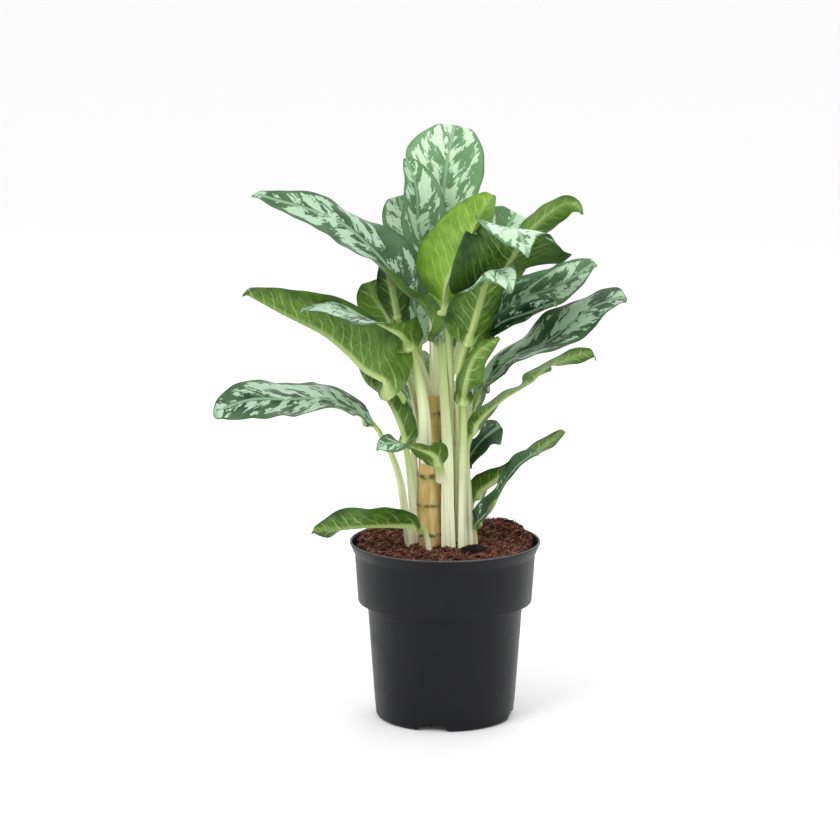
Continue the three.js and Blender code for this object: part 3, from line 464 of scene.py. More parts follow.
def leaf_rings(leaf, number):
    line, ways, lengths = walk(leaf["stalk"] + leaf["rib"])
    joins = len(leaf["stalk"]) + len(leaf["rib"]) - 1
    stalk_end = lengths[round((len(leaf["stalk"]) - 1) / joins * CURVE_STEPS)]
    blade_length = lengths[-1] - stalk_end
    stalk_share = np.arange(STALK_ROWS) / STALK_ROWS
    blade_share = 1 - (1 - np.linspace(0, LAST_ROW, BLADE_ROWS)) ** ROWS_TO_TIP
    u = np.concatenate([stalk_share - 1, blade_share])
    walked = np.concatenate([stalk_share * stalk_end, stalk_end + blade_share * blade_length])
    middle = at_lengths(walked, lengths, line)
    middle[:, 2] -= HOOK * ease(HOOK_START, 1, u) ** 2
    way = unit(at_lengths(walked, lengths, ways))

    normal = along(leaf["face"], u)
    normal = unit(normal - way * np.sum(normal * way, -1, keepdims=True))
    roll = np.radians(along(leaf["roll"], u))[:, None]
    normal = normal * np.cos(roll) + np.cross(way, normal) * np.sin(roll)
    side = np.cross(way, normal)

    spread = np.linspace(-1, 1, ACROSS)
    v = (np.sign(spread) * np.abs(spread) ** ROWS_TO_RIB)[None, :]
    u = u[:, None]
    wedge = ease(-1, WEDGE_END, u) if leaf["stalk"][0][2] * MM > SHEATH_HEIGHT else 1
    width = half_width(leaf, u) * (WEDGE_WIDTH + (1 - WEDGE_WIDTH) * wedge)
    open_out = ease(0, OPENING, u)
    cup, left, right = (
        np.radians(along(leaf[fold], u[:, 0]))[:, None] * open_out for fold in ("cup", "left", "right")
    )
    curl = np.where(v < 0, left, right)
    curl = np.where(np.abs(curl) < FLAT, FLAT, curl)
    turned = cup + curl * np.abs(v)
    out = (np.sin(turned) - np.sin(cup)) / curl
    up = (np.cos(cup) - np.cos(turned)) / curl + STALK_GROOVE * v**2 * (1 - open_out)

    distance = np.abs(v) * width
    phase = 2 * math.pi * u * blade_length / WAVE_LENGTH + number + 2 * (v < 0)
    wave = WAVE * np.sin(phase) * v**2 * ease(0.1, 0.3, u) * ease(1, 0.85, u)
    tilt = turned * ease(0, RIB_HALF, distance)
    hand = np.sign(v)
    middle, normal, side = middle[:, None], normal[:, None], side[:, None]
    outward = normal * np.cos(tilt)[..., None] - side * (hand * np.sin(tilt))[..., None]
    face = middle + side * (hand * out * width)[..., None] + normal * (up * width)[..., None]
    face = face + outward * wave[..., None]
    thick = thickness(u, v, width) * (WEDGE_THICK + (1 - WEDGE_THICK) * wedge)
    back = face - outward * thick[..., None]

    place = np.stack(np.broadcast_arrays(u * blade_length, v * width, number), -1)
    share = np.stack(np.broadcast_arrays(u, v, 0.0), -1)
    under = share + np.array([0, 0, 1])
    return there_and_back(face, back), there_and_back(place, place), there_and_back(share, under)


rings, place, share = leaf_rings(leaves[0], 0)
print("points round and along one leaf:", rings.shape[1], "by", rings.shape[0])

# %% [markdown]
# ## A skin wrapped like a sleeve
# A leaf's skin is one long tube, flattened. A grid has just the right faces: it is made flat, each
# of its points is moved to its place on a ring, its two long edges are merged into a seam, and its
# ends are capped. The same sleeve later makes the canes, the bed of soil and its fibres.

# %% Wrap a grid round rings of points
WELD = 1e-7                     # points closer than this become one
SHARP_ANGLE = math.radians(50)  # edges that turn more than this stay sharp


def sleeve(skin, rings, facts=None, cut_every=None):
    """Adds a closed tube through the rings to a bmesh, or one after every so many rings.

    Facts are vectors that its points keep, one for each point of each ring.
    """
    rows, columns = rings.shape[:2]
    facts = facts or {}
    layers = {name: skin.verts.layers.float_vector.new(name) for name in facts}
    made = bmesh.ops.create_grid(skin, x_segments=columns, y_segments=rows - 1, size=0.5)["verts"]
    row_of, cuts = {}, []
    for vert in made:
        column = round((vert.co.x + 0.5) * columns) % columns
        row = round((vert.co.y + 0.5) * (rows - 1))
        row_of[vert] = row
        vert.co = rings[row, column]
        for name, layer in layers.items():
            vert[layer] = facts[name][row, column]
    if cut_every:
        parts_of = {face: {row_of[v] // cut_every for v in face.verts} for face in skin.faces}
        cuts = [face for face, parts in parts_of.items() if len(parts) > 1]
        bmesh.ops.delete(skin, geom=cuts, context="FACES_ONLY")
        loose = [edge for edge in skin.edges if not edge.link_faces]
        bmesh.ops.delete(skin, geom=loose, context="EDGES")
    bmesh.ops.remove_doubles(skin, verts=skin.verts, dist=WELD)
    ends = [edge for edge in skin.edges if edge.is_boundary]
    bmesh.ops.holes_fill(skin, edges=ends, sides=0)


def put(name, data):
    """A new object in the scene."""
    made = bpy.data.objects.new(name, data)
    bpy.context.scene.collection.objects.link(made)
    return made


def keep(skin, name, material, stands_for=()):
    """Turns a bmesh into a finished piece of the plant."""
    bmesh.ops.recalc_face_normals(skin, faces=skin.faces)
    for face in skin.faces:
        face.smooth = True
    mesh = bpy.data.meshes.new(name)
    skin.to_mesh(mesh)
    skin.free()
    mesh.set_sharp_from_angle(angle=SHARP_ANGLE)
    mesh.materials.append(material)
    piece = put(name, mesh)
    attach(piece, "root")
    if stands_for:
        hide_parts(*stands_for)
    return piece


# %% [markdown]
# ## Wiring shaders by hand
# Materials are made of nodes. Small helpers keep their wiring readable: one adds a node and fills or
# links its sockets, and the others stand for the nodes that come up again and again.

# %% Helpers that add nodes
def add(tree, kind, inputs=None, **settings):
    node = tree.nodes.new(kind)
    for name, value in settings.items():
        setattr(node, name, value)
    for socket, value in (inputs or {}).items():
        if isinstance(value, bpy.types.NodeSocket):
            tree.links.new(value, node.inputs[socket])
        else:
            node.inputs[socket].default_value = value
    return node


def calc(tree, operation, *values):
    return add(tree, "ShaderNodeMath", dict(enumerate(values)), operation=operation).outputs[0]


def times(tree, first, second):
    return calc(tree, "MULTIPLY", first, second)


def fade(tree, value, low, high, to_low=0.0, to_high=1.0):
    """Eases from to_low to to_high as the value goes from low to high."""
    inputs = {
        "Value": value, "From Min": low, "From Max": high, "To Min": to_low, "To Max": to_high,
    }
    return add(tree, "ShaderNodeMapRange", inputs, interpolation_type="SMOOTHSTEP").outputs[0]


def colour(code):
    """A hex colour as Blender's linear light."""
    parts = [int(code[n : n + 2], 16) / 255 for n in (0, 2, 4)]
    return tuple(c / 12.92 if c < 0.04045 else ((c + 0.055) / 1.055) ** 2.4 for c in parts) + (1.0,)


def blend(tree, mask, first, second):
    """Mixes two colours, each a socket or a hex code."""
    first, second = (colour(c) if isinstance(c, str) else c for c in (first, second))
    return add(tree, "ShaderNodeMix", {0: mask, 6: first, 7: second}, data_type="RGBA").outputs[2]


def cloud(tree, where, scale, detail=2.0):
    """Soft noise from 0 to 1."""
    inputs = {"Vector": where, "Scale": scale, "Detail": detail}
    return add(tree, "ShaderNodeTexNoise", inputs).outputs["Fac"]


def sway(tree, value, mask, amount):
    """Moves a value up and down by a mask whose middle is a half."""
    return calc(tree, "MULTIPLY_ADD", calc(tree, "SUBTRACT", mask, 0.5), amount, value)


def spot_at(tree, x, y, z=0.0):
    return add(tree, "ShaderNodeCombineXYZ", {"X": x, "Y": y, "Z": z}).outputs[0]


def split(tree, spot):
    return add(tree, "ShaderNodeSeparateXYZ", {0: spot}).outputs


def on_piece(tree):
    """Where a point lies on its piece."""
    return add(tree, "ShaderNodeTexCoord").outputs["Object"]


def fact(tree, name):
    """A fact that a sleeve keeps on its points."""
    return add(tree, "ShaderNodeAttribute", attribute_name=name).outputs["Vector"]


def new_group(name, takes, gives):
    """A node group with float inputs and outputs, ready to be filled."""
    tree = bpy.data.node_groups.new(name, "ShaderNodeTree")
    for socket in takes:
        tree.interface.new_socket(socket, in_out="INPUT", socket_type="NodeSocketFloat")
    for socket in gives:
        tree.interface.new_socket(socket, in_out="OUTPUT", socket_type="NodeSocketFloat")
    return tree, tree.nodes.new("NodeGroupInput").outputs, tree.nodes.new("NodeGroupOutput").inputs


def new_material(name):
    material = bpy.data.materials.new(name)
    material.use_nodes = True
    return material, material.node_tree, material.node_tree.nodes["Principled BSDF"].inputs


def finish(tree, skin_in, skin_colour, roughness, gloss, height, strength, depth):
    """Links colour and roughness to the surface, sets its gloss and lays a relief over it."""
    tree.links.new(skin_colour, skin_in["Base Color"])
    tree.links.new(roughness, skin_in["Roughness"])
    skin_in["Specular IOR Level"].default_value = gloss
    bump = add(tree, "ShaderNodeBump", {"Height": height, "Strength": strength, "Distance": depth})
    tree.links.new(bump.outputs[0], skin_in["Normal"])


print("mid grey as light:", round(colour("808080")[0], 3))

# %% [markdown]
# ## Veins
# Side veins leave the rib at a slant and bend towards the tip. If every point of the blade is slid
# back along that slant, veins become plain stripes, so one number says which vein it belongs to.
# The distance to the nearest stripe gives a soft line. The group is used for colour and for relief.

# %% Build the vein group
VEIN_SLANT = -0.75      # the slide along the blade for each step across it, and for its square
VEIN_BEND = -14.0
VEIN_WANDER = 12 * MM
LEFT_SHIFT = 0.45       # veins on the left stand between those on the right, in spacings
NET_SCALE = 150.0
veins_takes = ["Along", "Across", "Share", "Spacing", "Line"]
veins_group, takes, gives = new_group("Leaf veins", veins_takes, ["Veins", "Net", "Rib", "Slid"])
t = veins_group
aside = calc(t, "ABSOLUTE", takes["Across"])
spot = spot_at(t, takes["Along"], takes["Across"])
wander = cloud(t, spot, 38.0, 3.0)
slid = calc(t, "MULTIPLY_ADD", aside, VEIN_SLANT, takes["Along"])
slid = calc(t, "MULTIPLY_ADD", times(t, aside, aside), VEIN_BEND, slid)
wavy = sway(t, slid, wander, VEIN_WANDER)
lefthand = calc(t, "LESS_THAN", takes["Across"], 0.0)
wavy = calc(t, "MULTIPLY_ADD", lefthand, times(t, takes["Spacing"], LEFT_SHIFT), wavy)
turn = calc(t, "FRACT", calc(t, "DIVIDE", wavy, takes["Spacing"]))
gap = calc(t, "SUBTRACT", 0.5, calc(t, "ABSOLUTE", calc(t, "SUBTRACT", turn, 0.5)))
far = times(t, gap, takes["Spacing"])
line_mask = fade(t, far, 0.0, takes["Line"], 1.0, 0.0)
margin = fade(t, calc(t, "ABSOLUTE", takes["Share"]), 0.35, 0.97, 1.0, 0.0)
broken = cloud(t, spot, 95.0, 1.0)
line_mask = times(t, line_mask, fade(t, broken, 0.3, 0.6, 0.35, 1.0))
t.links.new(times(t, line_mask, margin), gives["Veins"])
net_at = {"Vector": spot_at(t, wavy, takes["Across"]), "Scale": NET_SCALE}
cells = add(t, "ShaderNodeTexVoronoi", net_at, feature="DISTANCE_TO_EDGE").outputs[0]
t.links.new(times(t, fade(t, cells, 0.02, 0.11, 1.0, 0.0), margin), gives["Net"])
t.links.new(fade(t, aside, 0.0006, 0.0022, 1.0, 0.0), gives["Rib"])
t.links.new(slid, gives["Slid"])
print("nodes for the veins:", len(t.nodes))

# %% [markdown]
# ## Silver flecks
# The silver of this plant comes in ragged patches that stretch along the side veins and leave the
# margin and the rib green. Noise in the slid coordinates gives that stretch by itself. A threshold
# with a narrow edge makes the patches crisp, a finer noise frays them, and a broad one gathers them
# into regions.

# %% Build the silver group
PATCHES_ALONG = 84.0    # steps of the noise in a metre
PATCHES_ACROSS = 80.0
SEED_STEP = 7.31        # sets the pattern of each leaf apart
FRAY = 0.12             # how far the finer and the broad noise move the patches' edges
REGION = 0.3
BARE_LEVEL = 0.62       # the threshold on a leaf with no silver, and what full silver adds to it
SILVER_GAIN = -0.22
PATCH_EDGE = 0.009
silver_takes = ["Slid", "Across", "Share", "Seed", "Amount"]
silver_group, takes, gives = new_group("Silver flecks", silver_takes, ["Silver"])
t = silver_group
row = times(t, takes["Slid"], PATCHES_ALONG)
aside = times(t, takes["Across"], PATCHES_ACROSS)
shift = times(t, takes["Seed"], SEED_STEP)
spot = spot_at(t, row, aside, shift)
patches = add(t, "ShaderNodeTexNoise", {
    "Vector": spot, "Scale": 1.0, "Detail": 8.0, "Roughness": 0.68, "Distortion": 0.2,
}).outputs["Fac"]
streaks = spot_at(t, times(t, row, 3.5), times(t, aside, 1.8), shift)
value = sway(t, patches, cloud(t, streaks, 1.0, 3.0), FRAY)
value = sway(t, value, cloud(t, spot, 0.36, 1.0), REGION)
edge = fade(t, calc(t, "ABSOLUTE", takes["Share"]), 0.74, 0.99, 0.0, 0.2)
middle = fade(t, calc(t, "ABSOLUTE", takes["Across"]), 0.0004, 0.0028, 0.1, 0.0)
level = calc(t, "MULTIPLY_ADD", takes["Amount"], SILVER_GAIN, BARE_LEVEL)
level = calc(t, "ADD", level, calc(t, "ADD", edge, middle))
t.links.new(fade(t, calc(t, "SUBTRACT", value, level), -PATCH_EDGE, PATCH_EDGE), gives["Silver"])
print("nodes for the silver:", len(t.nodes))

# %% [markdown]
# ## The leaf's skin
# One material serves every leaf. The facts kept on the points tell it where it is: on the stalk or
# the blade, on the face or the underside. The face is green under silver flecks, the underside a
# warm green with pale veins, the stalk a pale, ribbed green. All share a waxy gloss.

# %% Build the leaf material
VEIN_SPACING = 11.5 * MM
VEIN_LINE = 1.15 * MM
leaf_skin, t, skin_in = new_material("leaf_skin")
along_m, across_m, seed = split(t, fact(t, "place"))
along_share, across_share, under = split(t, fact(t, "share"))
tone, silver_amount, lime = split(t, fact(t, "look"))

veins = add(t, "ShaderNodeGroup", {
    "Along": along_m, "Across": across_m, "Share": across_share,
    "Spacing": VEIN_SPACING, "Line": VEIN_LINE,
}, node_tree=veins_group).outputs
silver = add(t, "ShaderNodeGroup", {
    "Slid": veins["Slid"], "Across": across_m, "Share": across_share,
    "Seed": seed, "Amount": silver_amount,
}, node_tree=silver_group).outputs

clouds = cloud(t, spot_at(t, along_m, across_m, seed), 60.0, 3.0)

# The face: green from dark to light, then silver, then a pale rib line.
reach = calc(t, "ABSOLUTE", across_share)
depth = sway(t, tone, clouds, 0.5)
depth = calc(t, "MULTIPLY_ADD", reach, 0.16, depth)
face_green = blend(t, depth, "0B2A15", "76A070")
face_silver = blend(t, tone, "9CBBA0", "D6F0CE")
face_colour = blend(t, silver["Silver"], face_green, face_silver)
rib_line = times(t, veins["Rib"], 0.55)
face_colour = blend(t, rib_line, face_colour, "A9CDA6")

# The underside: green whose own uneven tone carries painted shade, darker in soft patches and towards the
# margin, with pale veins and rib.
# painted shade: the darker green stands in for the shade under the leaves, mixed with the green's own
# uneven tone
under_shade = times(t, fade(t, clouds, 0.3, 0.7, 0.3, 1.0), fade(t, reach, 0.0, 1.0, 0.5, 1.0))
dull = blend(t, under_shade, "3F641C", "123006")
fresh = blend(t, under_shade, "86B03C", "527A18")
under_green = blend(t, lime, dull, fresh)
vein_pale = blend(t, lime, "8EAA62", "AACB6A")
lines = times(t, veins["Net"], 0.2)
lines = calc(t, "MULTIPLY_ADD", veins["Veins"], 0.75, lines)
under_colour = blend(t, lines, under_green, vein_pale)
broad_rib = fade(t, calc(t, "ABSOLUTE", across_m), 0.0012, 0.0042, 1.0, 0.0)
rib_fade = fade(t, along_share, 0.05, 0.95, 1.0, 0.15)
under_colour = blend(t, times(t, broad_rib, rib_fade), under_colour, "AFC47C")

# The stalk: paler towards its foot.
stalk_colour = blend(t, fade(t, along_share, -0.8, 0.05), "EEF0CE", "B2C878")
streaks_at = spot_at(t, times(t, along_m, 8.0), times(t, across_m, 420.0), seed)
streaked = cloud(t, streaks_at, 1.0, 3.0)
stalk_colour = blend(t, fade(t, streaked, 0.45, 0.75, 0.0, 0.6), stalk_colour, "9DB365")

# Both joined: the blade darkens at its margin and its tip, and grows out of the stalk.
blade_colour = blend(t, under, face_colour, under_colour)
rim = times(t, fade(t, reach, 0.93, 0.99), 0.45)
blade_colour = blend(t, rim, blade_colour, "35583C")
tip = times(t, fade(t, along_share, 0.97, 0.998), 0.5)
blade_colour = blend(t, tip, blade_colour, "33451F")
on_blade = fade(t, along_share, -0.015, 0.06)
skin_colour = blend(t, on_blade, stalk_colour, blade_colour)
roughness = fade(t, clouds, 0.3, 0.7, 0.36, 0.48)

# Relief: the veins stand out, and fine ribs run down the stalk.
ribs_at = spot_at(t, times(t, along_m, 14.0), times(t, across_m, 900.0), seed)
stalk_ribs = cloud(t, ribs_at, 1.0)
vein_relief = times(t, veins["Veins"], calc(t, "MULTIPLY_ADD", under, 1.4, -0.7))
height = add(t, "ShaderNodeMix", {0: on_blade, 2: stalk_ribs, 3: vein_relief}).outputs[0]
finish(t, skin_in, skin_colour, roughness, gloss=0.28, height=height, strength=0.5, depth=0.0005)
print("leaf material nodes:", len(t.nodes))

# %% [markdown]
# ## Growing the leaves
# With the skin and the rings ready, each leaf is one pass: rings, sleeve, look, and it takes the
# place of the coarse leaf of the same name.

# %% Grow every leaf
def grow(leaf, number):
    rings, place, share = leaf_rings(leaf, number)
    look = np.broadcast_to(np.array(leaf["look"]), place.shape)
    skin = bmesh.new()
    sleeve(skin, rings, {"place": place, "share": share, "look": look})
    node = "leaf_" + leaf["name"]
    return keep(skin, leaf["name"] + "_leaf", leaf_skin, [node])


leaf_pieces = [grow(leaf, number) for number, leaf in enumerate(leaves)]
print("leaves grown:", len(leaf_pieces))

# %% [markdown]
# ## The canes
# Old Chinese evergreens stand on short canes ringed with the scars of leaves they have shed. Each
# cane is a sleeve too: round rings whose radius swells at every scar.

# %% The routes of the canes, in millimetres
canes = [
    dict(
        name="cane_front", radius=10.8,
        route=[(-12.5, -4, 138), (-13, -4, 162), (-14, -3, 205), (-14, -2, 250), (-14, 0, 290)],
    ),
    dict(name="cane_right", radius=5.6, route=[(11, 6, 138), (12, 6, 200), (13, 6, 284)]),
    dict(name="cane_rear", radius=6.4, route=[(-2, 22, 138), (-3, 22, 200), (-3, 21, 262)]),
]
CANE_TAPER = 0.82
SCAR_SPACING = 27 * MM
SCAR_SWELL = 0.7 * MM
SCAR_LENGTH = 4 * MM
SCAR_BAND = 0.54      # where the dark band lies between two scars, with a scar at a half
CANE_SIDES = 48
CANE_ROWS = 130


def grow_cane(cane, material):
    line, ways, lengths = walk(cane["route"])
    walked = np.linspace(0, lengths[-1], CANE_ROWS)
    middle = at_lengths(walked, lengths, line)
    way = unit(at_lengths(walked, lengths, ways))
    side = unit(np.array([1.0, 0, 0]) - way * way[:, :1])
    front = np.cross(way, side)
    from_scar = np.abs(walked - SCAR_SPACING * np.round(walked / SCAR_SPACING))
    swell = SCAR_SWELL * (1 - ease(0, SCAR_LENGTH, from_scar))
    radius = cane["radius"] * MM * (1 + (CANE_TAPER - 1) * walked / lengths[-1]) + swell
    angle = np.linspace(0, 2 * math.pi, CANE_SIDES, endpoint=False)
    ring = side[:, None] * np.cos(angle)[None, :, None] + front[:, None] * np.sin(angle)[None, :, None]
    rings = middle[:, None] + ring * radius[:, None, None]
    place = np.stack(np.broadcast_arrays(walked[:, None], angle[None, :], 0.0), -1)
    skin = bmesh.new()
    sleeve(skin, rings, {"place": place})
    return keep(skin, cane["name"] + "_bark", material, [cane["name"]])


print("canes described:", len(canes))

# %% [markdown]
# ## Cane skin
# The cane is tan with greener patches and fine streaks along its length. The length walked, which
# the sleeve keeps, sets a broken olive band just above every scar.

# %% Build the cane material and grow the canes
cane_skin, t, skin_in = new_material("cane_skin")
here = on_piece(t)
along_m = split(t, fact(t, "place"))[0]
warp = cloud(t, here, 90.0)
walked = sway(t, along_m, warp, 0.006)
turn = calc(t, "FRACT", calc(t, "ADD", calc(t, "DIVIDE", walked, SCAR_SPACING), 0.5))
band = fade(t, calc(t, "ABSOLUTE", calc(t, "SUBTRACT", turn, SCAR_BAND)), 0.03, 0.1, 1.0, 0.0)
patch = cloud(t, here, 160.0, 1.0)
band = times(t, band, fade(t, patch, 0.36, 0.56, 0.2, 0.9))
long_spot = add(t, "ShaderNodeMapping", {"Vector": here, "Scale": (220.0, 220.0, 30.0)}).outputs[0]
streak = cloud(t, long_spot, 1.0, 4.0)
tan = blend(t, fade(t, streak, 0.25, 0.8), "B8934C", "DCC583")
tan = blend(t, fade(t, warp, 0.5, 0.75), tan, "B3A85A")
skin_colour = blend(t, band, tan, "4A4416")
roughness = fade(t, streak, 0.3, 0.8, 0.5, 0.7)
finish(t, skin_in, skin_colour, roughness, gloss=0.5, height=streak, strength=0.5, depth=0.0006)

cane_pieces = [grow_cane(cane, cane_skin) for cane in canes]
print("canes grown:", [piece.name for piece in cane_pieces])

# %% [markdown]
# ## Soil
# The plant grows in coir, a reddish fibre that never lies flat. Three layers together look right: a
# rough bed, crumbs thrown over it, and loose fibres on top. The bed keeps the packed soil's own
# slopes and only adds roughness, so its height stays true.

# %% The height of the bed, as the model has it
SOIL_LEVEL = 155.5 * MM
SOIL_RADIUS = 78.5 * MM
SOIL_RISE = 0.055
SOIL_DISH = 0.035
BANK_PLACE = (52 * MM, 42 * MM)
BANK_HEIGHT = 6 * MM
BANK_SPREAD = 34 * MM
LUMP_WAVES = [(0.9 * MM, 230, 270), (0.6 * MM, 510, -430)]


def soil_height(x, y):
    reach = math.hypot(x - BANK_PLACE[0], y - BANK_PLACE[1]) / BANK_SPREAD
    bank = BANK_HEIGHT * math.exp(-reach * reach)
    lumps = sum(height * math.sin(kx * x + ky * y) for height, kx, ky in LUMP_WAVES)
    return SOIL_LEVEL + SOIL_RISE * y + SOIL_DISH * abs(x) + bank + lumps


print(f"soil at the middle: {soil_height(0, 0) * 1000:.1f} mm")

# %% Make the bed and its material
BED_RINGS = 84
BED_STEPS = 264
BED_ROUGH = 2.4 * MM
BED_GRAIN = 6 * MM
BED_SLICE = 0.4
BED_FRACTAL = (0.8, 2.1, 4)   # the fractal step, the gap between octaves, and their number
CALM_START = 0.9      # the bed is calmer from this share of its radius, and by this much at its edge
EDGE_CALM = 0.6
SKIRT_HEIGHT = 141 * MM
SKIRT_RADIUS = 77.5 * MM


def bed_point(radius, angle):
    x, y = radius * math.cos(angle), radius * math.sin(angle)
    rough = BED_ROUGH * (1 - ease(CALM_START, 1, radius / SOIL_RADIUS) * EDGE_CALM)
    ragged = noise.fractal((x / BED_GRAIN, y / BED_GRAIN, BED_SLICE), *BED_FRACTAL)
    return x, y, soil_height(x, y) + rough * ragged


def coir(name, base, light, scale):
    """A matt, fibrous brown: two noises set its colour, and the finer one its relief."""
    material, t, skin_in = new_material(name)
    here = on_piece(t)
    broad = cloud(t, here, scale, 4.0)
    fine = cloud(t, here, scale * 5, 5.0)
    mask = times(t, fade(t, broad, 0.4, 0.7), fade(t, fine, 0.35, 0.65))
    brown = blend(t, mask, base, light)
    roughness = fade(t, fine, 0.3, 0.7, 0.85, 1.0)
    finish(t, skin_in, brown, roughness, gloss=0.2, height=fine, strength=0.7, depth=0.001)
    return material


angles = np.linspace(0, 2 * math.pi, BED_STEPS, endpoint=False)
rings = [[(SKIRT_RADIUS * math.cos(a), SKIRT_RADIUS * math.sin(a), SKIRT_HEIGHT) for a in angles]]
for radius in np.linspace(SOIL_RADIUS, 0.5 * MM, BED_RINGS):
    rings.append([bed_point(radius, a) for a in angles])
bed = bmesh.new()
sleeve(bed, np.array(rings))
soil_bed = keep(bed, "soil_bed", coir("coir_bed", "1C0C08", "7E4B38", 110.0), ["soil"])
print("bed faces:", len(soil_bed.data.polygons))

# %% [markdown]
# ## Crumbs and fibres
# Crumbs are small balls pushed out of shape, thrown at random but with a fixed seed, so every run
# throws them alike. Fibres are thin sleeves, each with a gentle bend, all made by one long sleeve
# that is cut between one fibre and the next.

# %% Throw crumbs over the bed
CRUMBS = 1300
CRUMB_SIZE = 1.1 * MM
CRUMB_LIFT = 0.8 * MM
CRUMB_STRETCH = (1.5, 1, 0.8, 1)
SOIL_EDGE = 77 * MM
throw = random.Random(7)


def somewhere():
    radius, angle = SOIL_EDGE * math.sqrt(throw.random()), throw.uniform(0, 2 * math.pi)
    return radius * math.cos(angle), radius * math.sin(angle)


crumbs = bmesh.new()
for _ in range(CRUMBS):
    x, y = somewhere()
    size = throw.uniform(0.7, 1.6) ** 2 * CRUMB_SIZE
    turn = Matrix.Rotation(throw.uniform(0, math.pi), 4, "Z") @ Matrix.Diagonal(CRUMB_STRETCH)
    place = Matrix.Translation((x, y, soil_height(x, y) + CRUMB_LIFT))
    made = bmesh.ops.create_icosphere(crumbs, subdivisions=1, radius=size)["verts"]
    for vert in made:
        vert.co = place @ turn @ (vert.co * throw.uniform(0.7, 1.25))
soil_crumbs = keep(crumbs, "soil_crumbs", coir("coir_crumbs", "46241B", "B47C66", 160.0))
print("crumb faces:", len(soil_crumbs.data.polygons))

# %% Lay loose fibres
FIBRES = 1500
FIBRE_ROWS = 7
FIBRE_SIDES = 5
FIBRE_LENGTHS = (5, 16)       # lengths, lifts and radii in millimetres
FIBRE_LIFTS = (0.2, 2.2)
FIBRE_RADII = (0.12, 0.38)
FIBRE_BENDS = (-1.2, 1.2)
FIBRE_REST = 0.5 * MM         # how high a flat fibre lies on the soil


def fibre():
    """Rings along one bent fibre that lies on the soil."""
    x, y = somewhere()
    length, heading = throw.uniform(*FIBRE_LENGTHS) * MM, throw.uniform(0, 2 * math.pi)
    bend, lift = throw.uniform(*FIBRE_BENDS), throw.uniform(*FIBRE_LIFTS) * MM
    radius = throw.uniform(*FIBRE_RADII) * MM
    rings = []
    for row in range(FIBRE_ROWS):
        share = row / (FIBRE_ROWS - 1) - 0.5
        way = heading + bend * share
        px, py = x + length * share * math.cos(way), y + length * share * math.sin(way)
        held = min(1, SOIL_EDGE / max(math.hypot(px, py), 1e-9))
        px, py = px * held, py * held
        height = soil_height(px, py) + lift * (1 - 2 * share * share) + FIBRE_REST
        middle = Vector((px, py, height))
        thick = radius * (1.1 - abs(share))
        side = Vector((-math.sin(way), math.cos(way), 0)) * thick
        rise = Vector((0, 0, 1)) * thick
        steps = [2 * math.pi * n / FIBRE_SIDES for n in range(FIBRE_SIDES)]
        rings.append([middle + side * math.cos(a) + rise * math.sin(a) for a in steps])
    return rings


fibres = bmesh.new()
rings = np.array([ring for _ in range(FIBRES) for ring in fibre()])
sleeve(fibres, rings, cut_every=FIBRE_ROWS)
soil_fibres = keep(fibres, "soil_fibres", coir("coir_fibres", "603426", "D2A88C", 200.0))
print("fibre faces:", len(soil_fibres.data.polygons))

# %% [markdown]
# ## The lump of bark
# One dark chip of bark lies on the soil at the front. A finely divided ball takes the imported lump's
# size and turn, and ragged noise along its length gives it the broken, layered look of bark.

# %% Shape the bark
BARK_PLACE = (25 * MM, -29 * MM, 156.5 * MM)
BARK_SIZE = (12.5 * MM, 6.5 * MM, 5.5 * MM)
BARK_TURN = math.radians(8)
BARK_CORE = 0.97
BARK_RAGGED = 0.16
BARK_LAYERS = Vector((1.5, 3, 5))
BARK_FRACTAL = (0.9, 2.2, 4)

bark = bmesh.new()
made = bmesh.ops.create_icosphere(bark, subdivisions=5, radius=1)["verts"]
for vert in made:
    vert.co *= BARK_CORE + BARK_RAGGED * noise.fractal(vert.co * BARK_LAYERS, *BARK_FRACTAL)
bmesh.ops.scale(bark, vec=BARK_SIZE, verts=made)
bmesh.ops.rotate(bark, cent=(0, 0, 0), matrix=Matrix.Rotation(BARK_TURN, 3, "Z"), verts=made)
bmesh.ops.translate(bark, vec=BARK_PLACE, verts=made)
bark_chip = keep(bark, "bark_chip", coir("bark_dark", "141013", "3A2E2C", 150.0), ["bark_lump"])
print("bark faces:", len(bark_chip.data.polygons))

# %% [markdown]
# ## The pot
# A nursery pot is thin moulded plastic: a tapered wall, a wide collar above a step, and a rolled
# lip. Its profile is drawn once and spun a full turn. Shallow channels under the floor let water
# out; they are pressed in afterwards, by lifting the points of the base where a channel runs.

# %% Draw the profile, in millimetres from the axis and from the floor
UNDER = [(0, 0), (20, 0), (41, 0), (43.5, 0), (48, 0), (54, 0), (58.6, 0)]
OUTSIDE = [
    (59.6, 0.3), (61.2, 1.2), (61.8, 2.6), (62.0, 4), (62.3, 8), (62.8, 12), (66, 56), (69.3, 103.6),
    (69.5, 104.5), (70.2, 104.9), (76.6, 105.2), (77.4, 105.6), (77.7, 106.4),
    (79.1, 127), (80.4, 147.6), (80.7, 149.2), (81.5, 150.4), (84.0, 156.4), (84.6, 157.6),
    (85.0, 158.6), (84.9, 159.5), (84.4, 160),
]
INSIDE = [
    (83.6, 160), (83.1, 159.4), (82.8, 158.6), (79.6, 150.6), (79.0, 149), (77.6, 128), (76.3, 107.2),
    (75.6, 106.6), (70.4, 106.3), (68.4, 105), (67.8, 103.6), (64.4, 56), (61.3, 12), (60.8, 8),
    (60.5, 4.6), (60, 3), (58.5, 2.4), (54, 2.2), (48, 2.2), (43.5, 2.2), (41, 2.2), (20, 2.2), (0, 2.2),
]
POT_STEPS = 192
CHANNELS = [math.radians(-101 + 90 * n) for n in range(4)]
CHANNEL_START = 43 * MM
CHANNEL_HEIGHT = 6.5 * MM
CHANNEL_HALF_TOP = 7 * MM
CHANNEL_HALF_FOOT = 14 * MM
CHANNEL_FADE = 13 * MM

